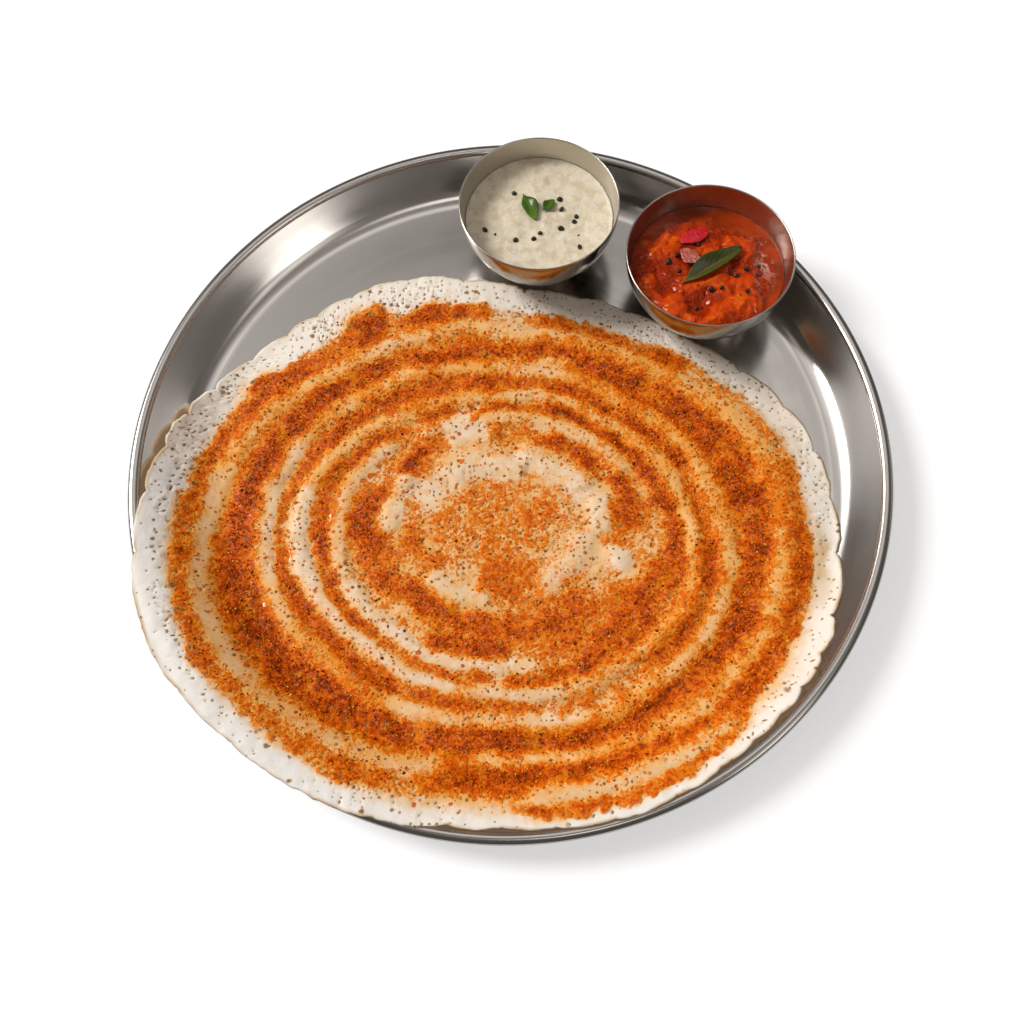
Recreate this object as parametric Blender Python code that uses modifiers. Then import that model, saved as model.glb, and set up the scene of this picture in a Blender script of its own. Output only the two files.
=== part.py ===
"""Ghee podi dosa on its round steel plate, with a bowl of coconut and a bowl of tomato chutney.

Units are metres and +Z is up. The origin is the middle of the plate's underside, +X is to the
right and +Y points away from the eater, to where the two bowls stand.
"""

import math

import bmesh
import bpy
import numpy as np

MM = 0.001
GAP = 0.3 * MM

# Round plate with a sloping wall and a rolled bead
PLATE_RADIUS = 165.0 * MM
PLATE_SHEET = 0.8 * MM
PLATE_FLOOR_RADIUS = 141.0 * MM
PLATE_FILLET = 14.0 * MM
PLATE_FILLET_ANGLE = math.radians(45.0)
BEAD_RADIUS = 1.8 * MM
BEAD_HEIGHT = 15.8 * MM
BEAD_ANGLES = (190, 150, 110, 70, 30, -10, -50, -95, -140)
PLATE_STEPS = 60

# Bowls: quarter ellipses cut off flat where they are as wide as the foot
BOWL_HEIGHT = 35.0 * MM
BOWL_FOOT = 17.5 * MM
BOWL_SHEET = 0.8 * MM
BOWL_LIP = 0.3 * MM
BOWL_STEPS = 28
BOWL_RINGS = 6
BOWL_BOTTOM = PLATE_SHEET + GAP
COCONUT_BOWL_AT = (22.0 * MM, 114.4 * MM)
COCONUT_BOWL_RADIUS = 36.8 * MM
TOMATO_BOWL_AT = (96.0 * MM, 80.4 * MM)
TOMATO_BOWL_RADIUS = 37.6 * MM

# Chutneys, filled up to a height over the foot of the bowl
FILL_GAP = 0.4 * MM
COCONUT_FILL = 23.0 * MM
COCONUT_DENTS = 0.3 * MM
TOMATO_FILL = 22.0 * MM
TOMATO_HEAP = 3.6 * MM
TOMATO_HEAP_FLAT = 17.0 * MM
TOMATO_HEAP_RADIUS = 28.0 * MM
TOMATO_DENTS = 1.2 * MM

# Dosa: outline as radii at even angles round the middle of its spiral, from +X anticlockwise
DOSA_AT = (-7.0 * MM, -29.0 * MM)
DOSA_RADII = np.array((
    148.0, 143.5, 130.0, 124.2, 123.0, 132.5, 138.5, 143.5, 151.0,
    153.5, 151.3, 141.7, 136.3, 130.5, 133.2, 138.3, 143.3, 148.3,
)) * MM
NOTCH_ANGLES = (
    1, 10, 20, 31, 44, 57, 68, 80, 94, 105, 117, 125, 132, 140, 149, 156, 163, 172,
    183, 195, 207, 220, 233, 246, 259, 268, 277, 287, 297, 306, 313, 319, 325, 332, 339, 351,
)
NOTCH_DEPTH = 2.4 * MM
SMOOTH_SIDE = (math.radians(185.0), math.radians(260.0))
LOBE_STEPS = 3
DOSA_THICKNESS = 2.4 * MM
DOSA_EDGE = 1.0 * MM
RIDGE_HEIGHT = 0.7 * MM
RIDGE_START = 0.10
RIDGE_STEP = 0.07
RIDGE_RINGS = 10

# Where the dosa leaves the plate's floor and runs up over the wall and the bead
LIFT_START = 126.0 * MM
LIFT_END = 164.0 * MM
LIFT_HEIGHT = BEAD_HEIGHT + BEAD_RADIUS + 0.5 * MM
DROOP = 60.0  # fall past the bead, 1/m
LIFT_SIDE = (math.radians(140.0), math.radians(170.0), math.radians(285.0), math.radians(330.0))

# Garnish: leaf tips and widths, and two soft pieces in the tomato chutney
LEAF_THICKNESS = 0.5 * MM
LEAF_ROWS = 7
LEAF_FOLD = 0.27
LARGE_LEAF = ((82.4 * MM, 70.7 * MM), (112.8 * MM, 87.8 * MM), 9.2 * MM)
LEFT_LEAF = ((15.3 * MM, 128.0 * MM), (20.2 * MM, 112.6 * MM), 6.0 * MM)
RIGHT_LEAF = ((23.9 * MM, 117.6 * MM), (30.0 * MM, 123.0 * MM), 4.4 * MM)
ONION_AT = (88.3 * MM, 85.2 * MM)
ONION_SIZE = (8.0 * MM, 6.0 * MM, 2.0 * MM)
ONION_TURN = math.radians(-20.0)
TOMATO_PIECE_AT = (91.5 * MM, 95.8 * MM)
TOMATO_PIECE_SIZE = (14.0 * MM, 5.5 * MM, 1.8 * MM)
TOMATO_PIECE_TURN = math.radians(18.0)


def clear_scene():
    for old in list(bpy.data.objects):
        bpy.data.objects.remove(old, do_unlink=True)


def new_collection(name):
    collection = bpy.data.collections.new(name)
    bpy.context.scene.collection.children.link(collection)
    return collection


def new_material(name, colour, roughness, metallic=0.0):
    material = bpy.data.materials.new(name)
    material.use_nodes = True
    shader = material.node_tree.nodes["Principled BSDF"]
    shader.inputs["Base Color"].default_value = (*colour, 1.0)
    shader.inputs["Roughness"].default_value = roughness
    shader.inputs["Metallic"].default_value = metallic
    return material


def smooth_step(low, high, value):
    """0 below low, 1 above high, and an S-shaped rise between."""
    t = np.clip((value - low) / (high - low), 0.0, 1.0)
    return t * t * (3.0 - 2.0 * t)


def turned(name, profile, steps, material, collection):
    """Turns a profile of (radius, height) pairs, listed from the top down the outer side, round Z."""
    mesh = bpy.data.meshes.new(name)
    points = [(radius, 0.0, height) for radius, height in profile]
    mesh.from_pydata(points, [(i, i + 1) for i in range(len(points) - 1)], [])
    piece = bpy.data.objects.new(name, mesh)
    collection.objects.link(piece)
    screw = piece.modifiers.new("Turn", "SCREW")
    screw.angle = math.tau
    screw.steps = screw.render_steps = steps
    screw.use_merge_vertices = True
    screw.merge_threshold = 0.00001
    screw.use_smooth_shade = True
    mesh.materials.append(material)
    return piece


def reshape(piece, place):
    """Applies a turned blank's modifier and moves its points to place(x, y, z)."""
    evaluated = piece.evaluated_get(bpy.context.evaluated_depsgraph_get())
    mesh = bpy.data.meshes.new_from_object(evaluated)
    piece.modifiers.clear()
    piece.data = mesh
    points = np.empty(len(mesh.vertices) * 3)
    mesh.vertices.foreach_get("co", points)
    points = np.stack(place(*points.reshape(-1, 3).T), axis=1)
    mesh.vertices.foreach_set("co", points.ravel())
    mesh.shade_smooth()
    mesh.set_sharp_from_angle(angle=math.radians(50.0))
    mesh.update()


def arc(centre_radius, centre_height, radius, start, end, count):
    """Points on a circular arc of the profile, angles counted from the outward direction."""
    return [(centre_radius + radius * math.cos(a), centre_height + radius * math.sin(a))
            for a in np.linspace(start, end, count)]


def plate_profile():
    """Floor, fillet, straight wall, bead and the same again on the underside."""
    down = -math.pi / 2.0
    centre = PLATE_SHEET + PLATE_FILLET
    inner = arc(PLATE_FLOOR_RADIUS, centre, PLATE_FILLET, down, down + PLATE_FILLET_ANGLE, 5)
    outer = arc(PLATE_FLOOR_RADIUS, centre, centre, down + PLATE_FILLET_ANGLE, down, 4)
    bead_middle = PLATE_RADIUS - BEAD_RADIUS
    bead = [(bead_middle + BEAD_RADIUS * math.cos(math.radians(a)),
             BEAD_HEIGHT + BEAD_RADIUS * math.sin(math.radians(a))) for a in BEAD_ANGLES]
    return [(0.0, PLATE_SHEET), *inner, *bead, *outer, (0.0, 0.0)]


def plate_surface(radius):
    """Height of the plate's upper face: flat, then a circular fillet, then a 45 degree wall."""
    fillet_width = PLATE_FILLET * math.sin(PLATE_FILLET_ANGLE)
    along = np.clip(radius - PLATE_FLOOR_RADIUS, 0.0, fillet_width)
    fillet = PLATE_FILLET - np.sqrt(PLATE_FILLET ** 2 - along ** 2)
    wall = np.maximum(radius - PLATE_FLOOR_RADIUS - fillet_width, 0.0) * math.tan(PLATE_FILLET_ANGLE)
    return PLATE_SHEET + np.minimum(fillet + wall, BEAD_HEIGHT + BEAD_RADIUS - PLATE_SHEET)


def ellipse_point(rim_radius, angle, inset):
    """Point of a bowl's side, angle counted from its lowest point, moved inwards by inset."""
    foot_angle = math.asin(BOWL_FOOT / rim_radius)
    depth = BOWL_HEIGHT / math.cos(foot_angle)
    across, down = depth * math.sin(angle), rim_radius * math.cos(angle)
    length = math.hypot(across, down)
    radius = rim_radius * math.sin(angle) - inset * across / length
    height = BOWL_HEIGHT - depth * math.cos(angle) + inset * down / length
    return radius, height


def bowl_angles(rim_radius):
    return np.linspace(math.asin(BOWL_FOOT / rim_radius), math.pi / 2.0, BOWL_RINGS + 1)


def fill_angle(rim_radius, fill):
    """Angle on the bowl's ellipse at a height over the foot."""
    foot_angle = math.asin(BOWL_FOOT / rim_radius)
    return math.acos((1.0 - fill / BOWL_HEIGHT) * math.cos(foot_angle))


def fill_point(rim_radius, fill):
    """Radius and height of the chutney's brim, a small gap inside the bowl's wall."""
    return ellipse_point(rim_radius, fill_angle(rim_radius, fill), BOWL_SHEET + FILL_GAP)


def make_bowl(name, at, rim_radius, material, collection):
    angles = bowl_angles(rim_radius)
    inner = [ellipse_point(rim_radius, a, BOWL_SHEET) for a in angles[:-1]]
    outer = [ellipse_point(rim_radius, a, 0.0) for a in angles[-2::-1]]
    wall = rim_radius - BOWL_SHEET
    lip = [(wall, BOWL_HEIGHT - BOWL_LIP), (wall + BOWL_LIP, BOWL_HEIGHT),
           (rim_radius - BOWL_LIP, BOWL_HEIGHT), (rim_radius, BOWL_HEIGHT - BOWL_LIP)]
    profile = [(0.0, inner[0][1]), *inner, *lip, *outer, (0.0, 0.0)]
    bowl = turned(name, profile, BOWL_STEPS, material, collection)
    bowl.location = (*at, BOWL_BOTTOM)


def chutney_profile(rim_radius, fill, ring_count):
    """Top rings, then down the inside of the bowl with a small gap to it."""
    inset = BOWL_SHEET + FILL_GAP
    top_angle = fill_angle(rim_radius, fill)
    side = [ellipse_point(rim_radius, a, inset) for a in bowl_angles(rim_radius)[::-1] if a < top_angle]
    brim = fill_point(rim_radius, fill)
    top = [(brim[0] * k / ring_count, brim[1]) for k in range(ring_count)]
    return [*top, brim, *side, (0.0, side[-1][1])]


def coconut_top(x, y):
    """Shallow dents, all below the fill height, from two crossed waves."""
    wave = np.sin(x / (5.0 * MM) + 1.0) * np.sin(y / (4.0 * MM))
    return -COCONUT_DENTS * (0.5 + 0.5 * wave)


def tomato_top(x, y):
    """A flat-topped heap with a sloping skirt, dented by crossed waves."""
    radius = np.hypot(x, y)
    heap = TOMATO_HEAP * (1.0 - smooth_step(TOMATO_HEAP_FLAT, TOMATO_HEAP_RADIUS, radius))
    wave = np.sin(x / (3.6 * MM)) * np.sin(y / (3.2 * MM) + 0.8)
    dents = TOMATO_DENTS * (0.5 + 0.5 * wave)
    return heap * (1.0 - dents / TOMATO_HEAP)


def make_chutney(name, at, rim_radius, fill, ring_count, relief, material, collection):
    profile = chutney_profile(rim_radius, fill, ring_count)
    chutney = turned(name, profile, BOWL_STEPS, material, collection)
    brim_radius, brim_height = fill_point(rim_radius, fill)

    def place(x, y, z):
        on_top = (z > brim_height - 0.01 * MM) & (np.hypot(x, y) < 0.99 * brim_radius)
        return x + at[0], y + at[1], z + BOWL_BOTTOM + np.where(on_top, relief(x, y), 0.0)

    reshape(chutney, place)


def dosa_outline(angle):
    """Smooth outline: the Fourier series through the control radii."""
    waves = np.fft.rfft(DOSA_RADII) / len(DOSA_RADII)
    order = np.arange(len(waves))
    weight = np.where((order == 0) | (order == len(waves) - 1), 1.0, 2.0)
    return (weight * waves * np.exp(1j * np.multiply.outer(angle, order))).real.sum(axis=-1)


def dosa_edge(step):
    """Angle and radius of the edge at a step round the dosa: round lobes between sharp notches."""
    lobe = (step // LOBE_STEPS).astype(int)
    across = (step % LOBE_STEPS) / LOBE_STEPS
    notches = np.radians(np.array(NOTCH_ANGLES + (NOTCH_ANGLES[0] + 360,)))
    angle = notches[lobe] + across * (notches[lobe + 1] - notches[lobe])
    middle = 0.5 * (SMOOTH_SIDE[0] + SMOOTH_SIDE[1])
    calm = 1.0 - smooth_step(0.5, 1.2, np.abs(angle % math.tau - middle) / (SMOOTH_SIDE[1] - middle))
    depth = NOTCH_DEPTH * (1.0 - 0.7 * calm)
    return angle, dosa_outline(angle) - depth * (1.0 - np.sin(math.pi * across) ** 0.5)


def dosa_underside(x, y):
    """Height of the dosa's lower face: on the plate, bridging from its floor to its bead at the lifted side."""
    radius = np.hypot(x, y)
    angle = np.arctan2(y, x) % math.tau
    rise_start, rise_end, fall_start, fall_end = LIFT_SIDE
    lifted = smooth_step(rise_start, rise_end, angle) * (1.0 - smooth_step(fall_start, fall_end, angle))
    resting = plate_surface(radius)
    bridge = PLATE_SHEET + (LIFT_HEIGHT - PLATE_SHEET) * smooth_step(LIFT_START, LIFT_END, radius)
    bridge = bridge - DROOP * np.maximum(radius - LIFT_END, 0.0) ** 2
    return resting + lifted * np.maximum(bridge - resting, 0.0) + GAP


def make_dosa(material, collection):
    """A turned lens of unit radius, moved onto the dosa's outline and draped on the plate."""
    steps = LOBE_STEPS * len(NOTCH_ANGLES)
    ridges = [RIDGE_START + RIDGE_STEP * k for k in range(RIDGE_RINGS)]
    rim = [0.81, 0.90, 0.96, 0.99]
    under = [0.985, 0.96, 0.93, 0.86, 0.75, 0.5]
    profile = [(0.0, 1.0), *((s, 1.0) for s in ridges + rim), (1.0, 0.0),
               *((s, -1.0) for s in under), (0.0, -1.0)]
    dosa = turned("dosa", profile, steps, material, collection)

    def place(x, y, side):
        share = np.hypot(x, y)
        step = np.round(np.arctan2(y, x) / math.tau * steps) % steps
        angle, edge = dosa_edge(step)
        px = DOSA_AT[0] + share * edge * np.cos(angle)
        py = DOSA_AT[1] + share * edge * np.sin(angle)
        ring = (share - RIDGE_START) / RIDGE_STEP
        ridge = np.where((share > 0.05) & (ring < RIDGE_RINGS - 0.5), -np.cos(math.pi * ring), 0.0)
        taper = smooth_step(0.86, 1.0, share)
        thickness = DOSA_THICKNESS + (DOSA_EDGE - DOSA_THICKNESS) * taper + RIDGE_HEIGHT * ridge
        return px, py, dosa_underside(px, py) + thickness * 0.5 * (1.0 + side)

    reshape(dosa, place)


def make_leaf(name, shape, base, material, collection):
    """Pointed leaf between two tips: half width is a rounded cosine, and the sides fold up from the midrib."""
    (ax, ay), (bx, by), width = shape
    length = math.hypot(bx - ax, by - ay)
    turn = math.atan2(by - ay, bx - ax)
    work = bmesh.new()
    bmesh.ops.create_grid(work, x_segments=LEAF_ROWS, y_segments=2, size=1.0)
    for vert in work.verts:
        along, across = vert.co.x, vert.co.y
        half = 0.5 * width * max(math.cos(0.5 * math.pi * along), 0.0) ** 0.8
        u, v = 0.5 * length * along, half * across
        vert.co.x = 0.5 * (ax + bx) + u * math.cos(turn) - v * math.sin(turn)
        vert.co.y = 0.5 * (ay + by) + u * math.sin(turn) + v * math.cos(turn)
        vert.co.z = base + 0.5 * LEAF_THICKNESS + LEAF_FOLD * abs(v)
    bmesh.ops.remove_doubles(work, verts=work.verts, dist=0.01 * MM)
    mesh = bpy.data.meshes.new(name)
    work.to_mesh(mesh)
    work.free()
    mesh.materials.append(material)
    mesh.shade_smooth()
    leaf = bpy.data.objects.new(name, mesh)
    collection.objects.link(leaf)
    shell = leaf.modifiers.new("Leaf blade", "SOLIDIFY")
    shell.thickness = LEAF_THICKNESS
    shell.offset = 0.0


def make_soft_piece(name, at, size, turn, base, material, collection):
    """A small block with rounded edges lying on the heap."""
    mesh = bpy.data.meshes.new(name)
    work = bmesh.new()
    bmesh.ops.create_cube(work, size=1.0)
    bmesh.ops.scale(work, verts=work.verts, vec=size)
    work.to_mesh(mesh)
    work.free()
    mesh.materials.append(material)
    piece = bpy.data.objects.new(name, mesh)
    collection.objects.link(piece)
    piece.location = (*at, base + 0.5 * size[2])
    piece.rotation_euler.z = turn
    edge = piece.modifiers.new("Soft edges", "BEVEL")
    edge.width = 0.35 * size[2]
    edge.segments = 2
    mesh.shade_smooth()


def main():
    clear_scene()
    meal = new_collection("Ghee podi dosa")
    steel = new_material("steel", (0.62, 0.60, 0.58), 0.28, 1.0)
    batter = new_material("crisp batter with podi", (0.72, 0.36, 0.12), 0.6)
    coconut = new_material("coconut chutney", (0.78, 0.70, 0.52), 0.45)
    tomato = new_material("tomato chutney", (0.55, 0.08, 0.02), 0.25)
    leaf_green = new_material("curry leaf", (0.06, 0.12, 0.03), 0.35)
    onion = new_material("soft onion", (0.62, 0.22, 0.20), 0.25)
    tomato_skin = new_material("tomato skin", (0.55, 0.03, 0.04), 0.25)

    turned("plate", plate_profile(), PLATE_STEPS, steel, meal)
    make_dosa(batter, meal)
    make_bowl("coconut_bowl", COCONUT_BOWL_AT, COCONUT_BOWL_RADIUS, steel, meal)
    make_bowl("tomato_bowl", TOMATO_BOWL_AT, TOMATO_BOWL_RADIUS, steel, meal)
    make_chutney("coconut_chutney", COCONUT_BOWL_AT, COCONUT_BOWL_RADIUS, COCONUT_FILL, 3,
                 coconut_top, coconut, meal)
    make_chutney("tomato_chutney", TOMATO_BOWL_AT, TOMATO_BOWL_RADIUS, TOMATO_FILL, 6,
                 tomato_top, tomato, meal)

    coconut_level = BOWL_BOTTOM + fill_point(COCONUT_BOWL_RADIUS, COCONUT_FILL)[1] + GAP
    heap_level = BOWL_BOTTOM + fill_point(TOMATO_BOWL_RADIUS, TOMATO_FILL)[1] + TOMATO_HEAP + GAP
    make_leaf("curry_leaf_left", LEFT_LEAF, coconut_level, leaf_green, meal)
    make_leaf("curry_leaf_right", RIGHT_LEAF, coconut_level, leaf_green, meal)
    make_leaf("curry_leaf_large", LARGE_LEAF, heap_level, leaf_green, meal)
    make_soft_piece("onion_piece", ONION_AT, ONION_SIZE, ONION_TURN, heap_level, onion, meal)
    make_soft_piece("tomato_piece", TOMATO_PIECE_AT, TOMATO_PIECE_SIZE, TOMATO_PIECE_TURN,
                    heap_level, tomato_skin, meal)


main()
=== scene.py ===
"""Ghee podi dosa on a round steel plate, with a bowl of coconut and a bowl of tomato chutney.

Laid out as a Blender add-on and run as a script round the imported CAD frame. Units are metres,
+Z is up, +X is to the right and +Y points away from the eater, to where the two bowls stand.
"""

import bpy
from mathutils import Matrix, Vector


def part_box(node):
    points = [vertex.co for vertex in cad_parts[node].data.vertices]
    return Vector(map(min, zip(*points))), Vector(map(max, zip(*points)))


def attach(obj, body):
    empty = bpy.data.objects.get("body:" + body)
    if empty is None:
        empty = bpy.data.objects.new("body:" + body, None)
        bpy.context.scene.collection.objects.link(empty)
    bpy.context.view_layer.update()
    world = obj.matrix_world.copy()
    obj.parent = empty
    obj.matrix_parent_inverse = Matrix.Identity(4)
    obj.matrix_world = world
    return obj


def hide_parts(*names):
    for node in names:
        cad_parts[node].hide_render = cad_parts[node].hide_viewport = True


bl_info = {
    "name": "Plated Podi Dosa",
    "version": (1, 0, 0),
    "blender": (4, 5, 0),
    "location": "3D View > Sidebar > Dosa",
    "description": "Makes a podi dosa on its steel plate, two bowls of chutney and a plain studio",
    "category": "Object",
}

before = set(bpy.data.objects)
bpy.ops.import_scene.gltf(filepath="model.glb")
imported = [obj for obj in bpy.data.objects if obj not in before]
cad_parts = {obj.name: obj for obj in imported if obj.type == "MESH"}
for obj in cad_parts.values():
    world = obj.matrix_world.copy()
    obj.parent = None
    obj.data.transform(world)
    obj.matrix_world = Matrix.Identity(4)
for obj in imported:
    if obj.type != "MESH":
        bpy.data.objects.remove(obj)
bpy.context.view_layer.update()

import math

import bpy
import numpy as np
from bpy.props import FloatProperty, FloatVectorProperty, IntProperty, PointerProperty
from mathutils import Matrix, Vector

MM = 0.001
GAP = 0.3 * MM  # between pieces that stand on each other

# Sizes that repeat the CAD part's own
PLATE_SHEET = 0.8 * MM
PLATE_FLOOR_RADIUS = 141.0 * MM
PLATE_FILLET = 14.0 * MM
PLATE_FILLET_ANGLE = math.radians(45.0)
BEAD_RADIUS = 1.8 * MM
BEAD_HEIGHT = 15.8 * MM
BEAD_FLATNESS = 1.4  # width over height of the rolled edge
BOWL_HEIGHT = 35.0 * MM
BOWL_FOOT = 17.5 * MM
BOWL_SHEET = 0.8 * MM
BOWL_BOTTOM = PLATE_SHEET + GAP
COCONUT_BOWL_AT = (22.0 * MM, 114.4 * MM)
TOMATO_BOWL_AT = (96.0 * MM, 80.4 * MM)
FILL_GAP = 0.4 * MM  # between a chutney and its bowl
SHARP_EDGE = math.radians(40.0)  # steel corners from here on stay sharp

DOSA_AT = (-7.0 * MM, -29.0 * MM)
DOSA_RADII = np.array((  # every 20 degrees, anticlockwise from +X
    148.0, 143.5, 130.0, 124.2, 123.0, 132.5, 138.5, 143.5, 151.0,
    153.5, 151.3, 141.7, 136.3, 130.5, 133.2, 138.3, 143.3, 148.3,
)) * MM
NOTCH_ANGLES = (  # degrees
    1, 10, 20, 31, 44, 57, 68, 80, 94, 105, 117, 125, 132, 140, 149, 156, 163, 172,
    183, 195, 207, 220, 233, 246, 259, 268, 277, 287, 297, 306, 313, 319, 325, 332, 339, 351,
)
NOTCH_DEPTH = 2.4 * MM
SMOOTH_SIDE = (185.0, 260.0)  # degrees between which the notches are shallow
LIFT_START = 126.0 * MM  # from the plate's middle
LIFT_END = 164.0 * MM
LIFT_HEIGHT = BEAD_HEIGHT + BEAD_RADIUS + 0.5 * MM
DROOP = 60.0  # fall past the bead, 1/m
LIFT_SIDE = np.radians((140.0, 170.0, 285.0, 330.0))  # where the lift starts, is full, falls and ends

# Strokes on the dosa: first and last angle in degrees round its spiral, then the share of the
# radius at the start, the middle and the end, the half width as a share, and the amount
CRESTS = (
    (5, 95, .835, .80, .76, .030, 1.0), (95, 150, .76, .745, .80, .030, 1.0),
    (150, 262, .80, .835, .80, .030, 1.0), (262, 300, .785, .785, .79, .024, 1.0),
    (300, 365, .79, .83, .84, .030, 1.0), (272, 312, .888, .888, .905, .022, .9),
    (0, 90, .645, .635, .61, .027, 1.0), (88, 125, .612, .597, .615, .025, 1.0),
    (125, 182, .615, .652, .666, .026, 1.0), (182, 262, .663, .647, .655, .026, 1.0),
    (262, 365, .66, .695, .645, .026, 1.0), (0, 72, .54, .535, .525, .024, 1.0),
    (72, 130, .525, .475, .50, .024, 1.0), (130, 182, .50, .54, .566, .022, 1.0),
    (182, 255, .56, .535, .56, .022, 1.0), (255, 335, .565, .585, .61, .022, 1.0),
    (330, 365, .61, .58, .545, .022, 1.0), (20, 95, .435, .437, .40, .024, 1.0),
    (95, 125, .39, .38, .40, .024, .8), (135, 200, .43, .445, .45, .024, .9),
    (200, 285, .455, .475, .50, .022, .9), (212, 240, .385, .39, .39, .018, .8),
    (20, 70, .295, .295, .295, .032, .8), (60, 130, .23, .23, .23, .045, .8),
    (85, 115, .35, .35, .35, .045, .6), (145, 180, .305, .305, .305, .024, .8),
    (215, 260, .265, .265, .265, .024, .8), (300, 350, .255, .255, .255, .032, .8),
    (350, 370, .31, .31, .31, .030, 1.0), (335, 343, .37, .37, .37, .030, 1.0),
)
DRIFTS = (
    (350, 369, .855, .845, .85, .050, .68), (8, 40, .865, .86, .86, .040, .28),
    (37, 46, .86, .86, .86, .045, .80), (46, 77, .855, .85, .845, .026, .60),
    (76, 90, .85, .84, .83, .030, .25), (88, 108, .85, .83, .80, .035, .70),
    (99, 107, .83, .815, .79, .040, .85), (114, 124, .84, .84, .84, .060, .90),
    (123, 134, .84, .83, .84, .040, .50), (107, 115, .82, .82, .83, .04, .35),
    (134, 151, .83, .84, .84, .042, .80), (139, 148, .87, .885, .875, .030, .70),
    (150, 182, .852, .866, .866, .030, .66), (180, 206, .866, .872, .884, .029, .58),
    (202, 242, .88, .888, .885, .032, .42), (238, 258, .88, .88, .87, .034, .28),
    (256, 272, .85, .84, .83, .045, .70), (270, 282, .945, .948, .945, .020, .80),
    (282, 312, .945, .945, .94, .018, .50), (258, 302, .83, .835, .845, .034, 1.0),
    (300, 318, .845, .875, .895, .032, .90), (314, 352, .875, .875, .875, .032, .80),
    (-5, 62, .735, .72, .725, .065, .92), (60, 78, .75, .745, .73, .040, .85),
    (75, 95, .71, .70, .675, .035, .75), (90, 105, .72, .72, .72, .040, .40),
    (90, 112, .66, .645, .645, .035, .85), (108, 128, .675, .67, .685, .030, .60),
    (122, 182, .70, .71, .73, .045, .95), (180, 242, .735, .74, .735, .060, 1.0),
    (240, 272, .73, .715, .72, .055, .92), (268, 302, .735, .73, .735, .036, 1.0),
    (298, 362, .735, .76, .75, .045, .92), (0, 18, .585, .58, .575, .030, .45),
    (15, 64, .58, .585, .59, .030, .85), (60, 92, .58, .575, .55, .025, .60),
    (86, 128, .55, .53, .535, .040, .85), (126, 152, .565, .575, .585, .030, .75),
    (148, 168, .585, .595, .61, .018, .85), (166, 198, .61, .62, .61, .012, .70),
    (193, 238, .60, .605, .60, .035, 1.0), (236, 262, .60, .605, .615, .030, .50),
    (258, 278, .615, .62, .62, .020, .75), (284, 318, .64, .64, .65, .020, .15),
    (312, 352, .635, .635, .62, .035, .70), (350, 368, .62, .61, .60, .030, .45),
    (340, 382, .54, .505, .485, .025, .95), (14, 64, .485, .488, .487, .018, 1.0),
    (60, 92, .475, .465, .45, .018, .75), (88, 98, .44, .42, .39, .010, .90),
    (106, 120, .43, .435, .445, .025, .80), (124, 138, .45, .46, .47, .030, .50),
    (134, 156, .47, .48, .49, .018, .90), (152, 184, .49, .505, .50, .025, .85),
    (180, 238, .50, .503, .505, .018, .75), (236, 262, .52, .52, .52, .020, .45),
    (270, 300, .525, .53, .535, .026, .70), (296, 345, .52, .51, .50, .050, .62),
    (-5, 20, .40, .39, .385, .025, .80), (20, 34, .37, .37, .37, .030, .40),
    (30, 92, .375, .37, .35, .025, .85), (116, 144, .36, .355, .355, .045, .85),
    (144, 162, .38, .37, .37, .030, .45), (158, 182, .38, .385, .37, .035, .90),
    (180, 216, .36, .355, .35, .045, .60), (212, 262, .33, .335, .34, .035, .90),
    (238, 272, .42, .43, .44, .030, .80), (258, 296, .36, .365, .36, .035, .62),
    (290, 318, .36, .36, .36, .050, .42), (285, 330, .43, .44, .44, .040, .45),
    (344, 366, .34, .35, .34, .040, .50), (160, 215, .25, .24, .22, .030, .45),
    (251, 305, .22, .20, .20, .050, .38), (0, 180, .07, .07, .07, .080, .22),
    (180, 360, .07, .07, .07, .080, .22),
)
BEIGES = (
    (8, 40, .86, .86, .86, .045, 1.0), (272, 312, .90, .90, .91, .026, .60),
    (285, 315, .625, .625, .625, .025, .60), (170, 258, .898, .898, .898, .022, .50),
    (76, 90, .84, .84, .84, .030, .60), (343, 354, .945, .945, .945, .022, .80),
    (0, 18, .58, .58, .58, .030, .50), (345, 377, .88, .875, .875, .035, .60),
    (236, 262, .52, .52, .52, .020, .50), (322, 385, .955, .955, .955, .040, .18),
)
WHITES = (
    (150, 205, .645, .645, .645, .028, .80), (165, 252, .555, .545, .555, .028, 1.0),
    (60, 175, .215, .205, .27, .040, .90), (95, 150, .39, .39, .40, .030, .80),
    (160, 200, .435, .445, .45, .020, .35), (200, 285, .455, .475, .50, .026, .90),
    (350, 372, .31, .31, .31, .032, 1.0), (333, 345, .37, .37, .37, .032, 1.0),
    (12, 74, .275, .265, .26, .030, .85), (240, 290, .655, .655, .66, .028, .80),
    (264, 288, .785, .785, .79, .020, .60), (272, 318, .890, .890, .905, .026, .85),
    (58, 130, .375, .355, .32, .026, .85), (145, 180, .305, .305, .305, .030, .50),
    (215, 262, .265, .265, .265, .030, .50), (300, 350, .255, .255, .255, .035, .40),
    (335, 360, .80, .80, .80, .025, .40), (112, 135, .745, .745, .745, .022, .50),
    (138, 163, .385, .385, .40, .030, .90), (312, 336, .69, .695, .69, .020, .60),
    (262, 286, .585, .585, .585, .020, .70), (236, 262, .66, .66, .66, .022, .50),
    (165, 212, .816, .828, .835, .022, .45), (218, 256, .832, .832, .815, .022, .30),
)
CLEANS = (
    (165, 240, .95, .96, .96, .070, 1.0), (238, 312, .97, .97, .97, .050, .7),
    (308, 372, .96, .96, .96, .060, .6),
)
RIM_START = (  # angle in degrees, and the share of the radius where the bare rim starts
    (0, .88), (30, .86), (45, .84), (110, .82), (120, .845), (135, .855), (150, .87), (165, .875),
    (180, .87), (195, .875), (204, .885), (212, .91), (240, .925), (270, .955), (312, .955), (330, .93),
    (345, .91), (360, .88),
)
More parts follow.
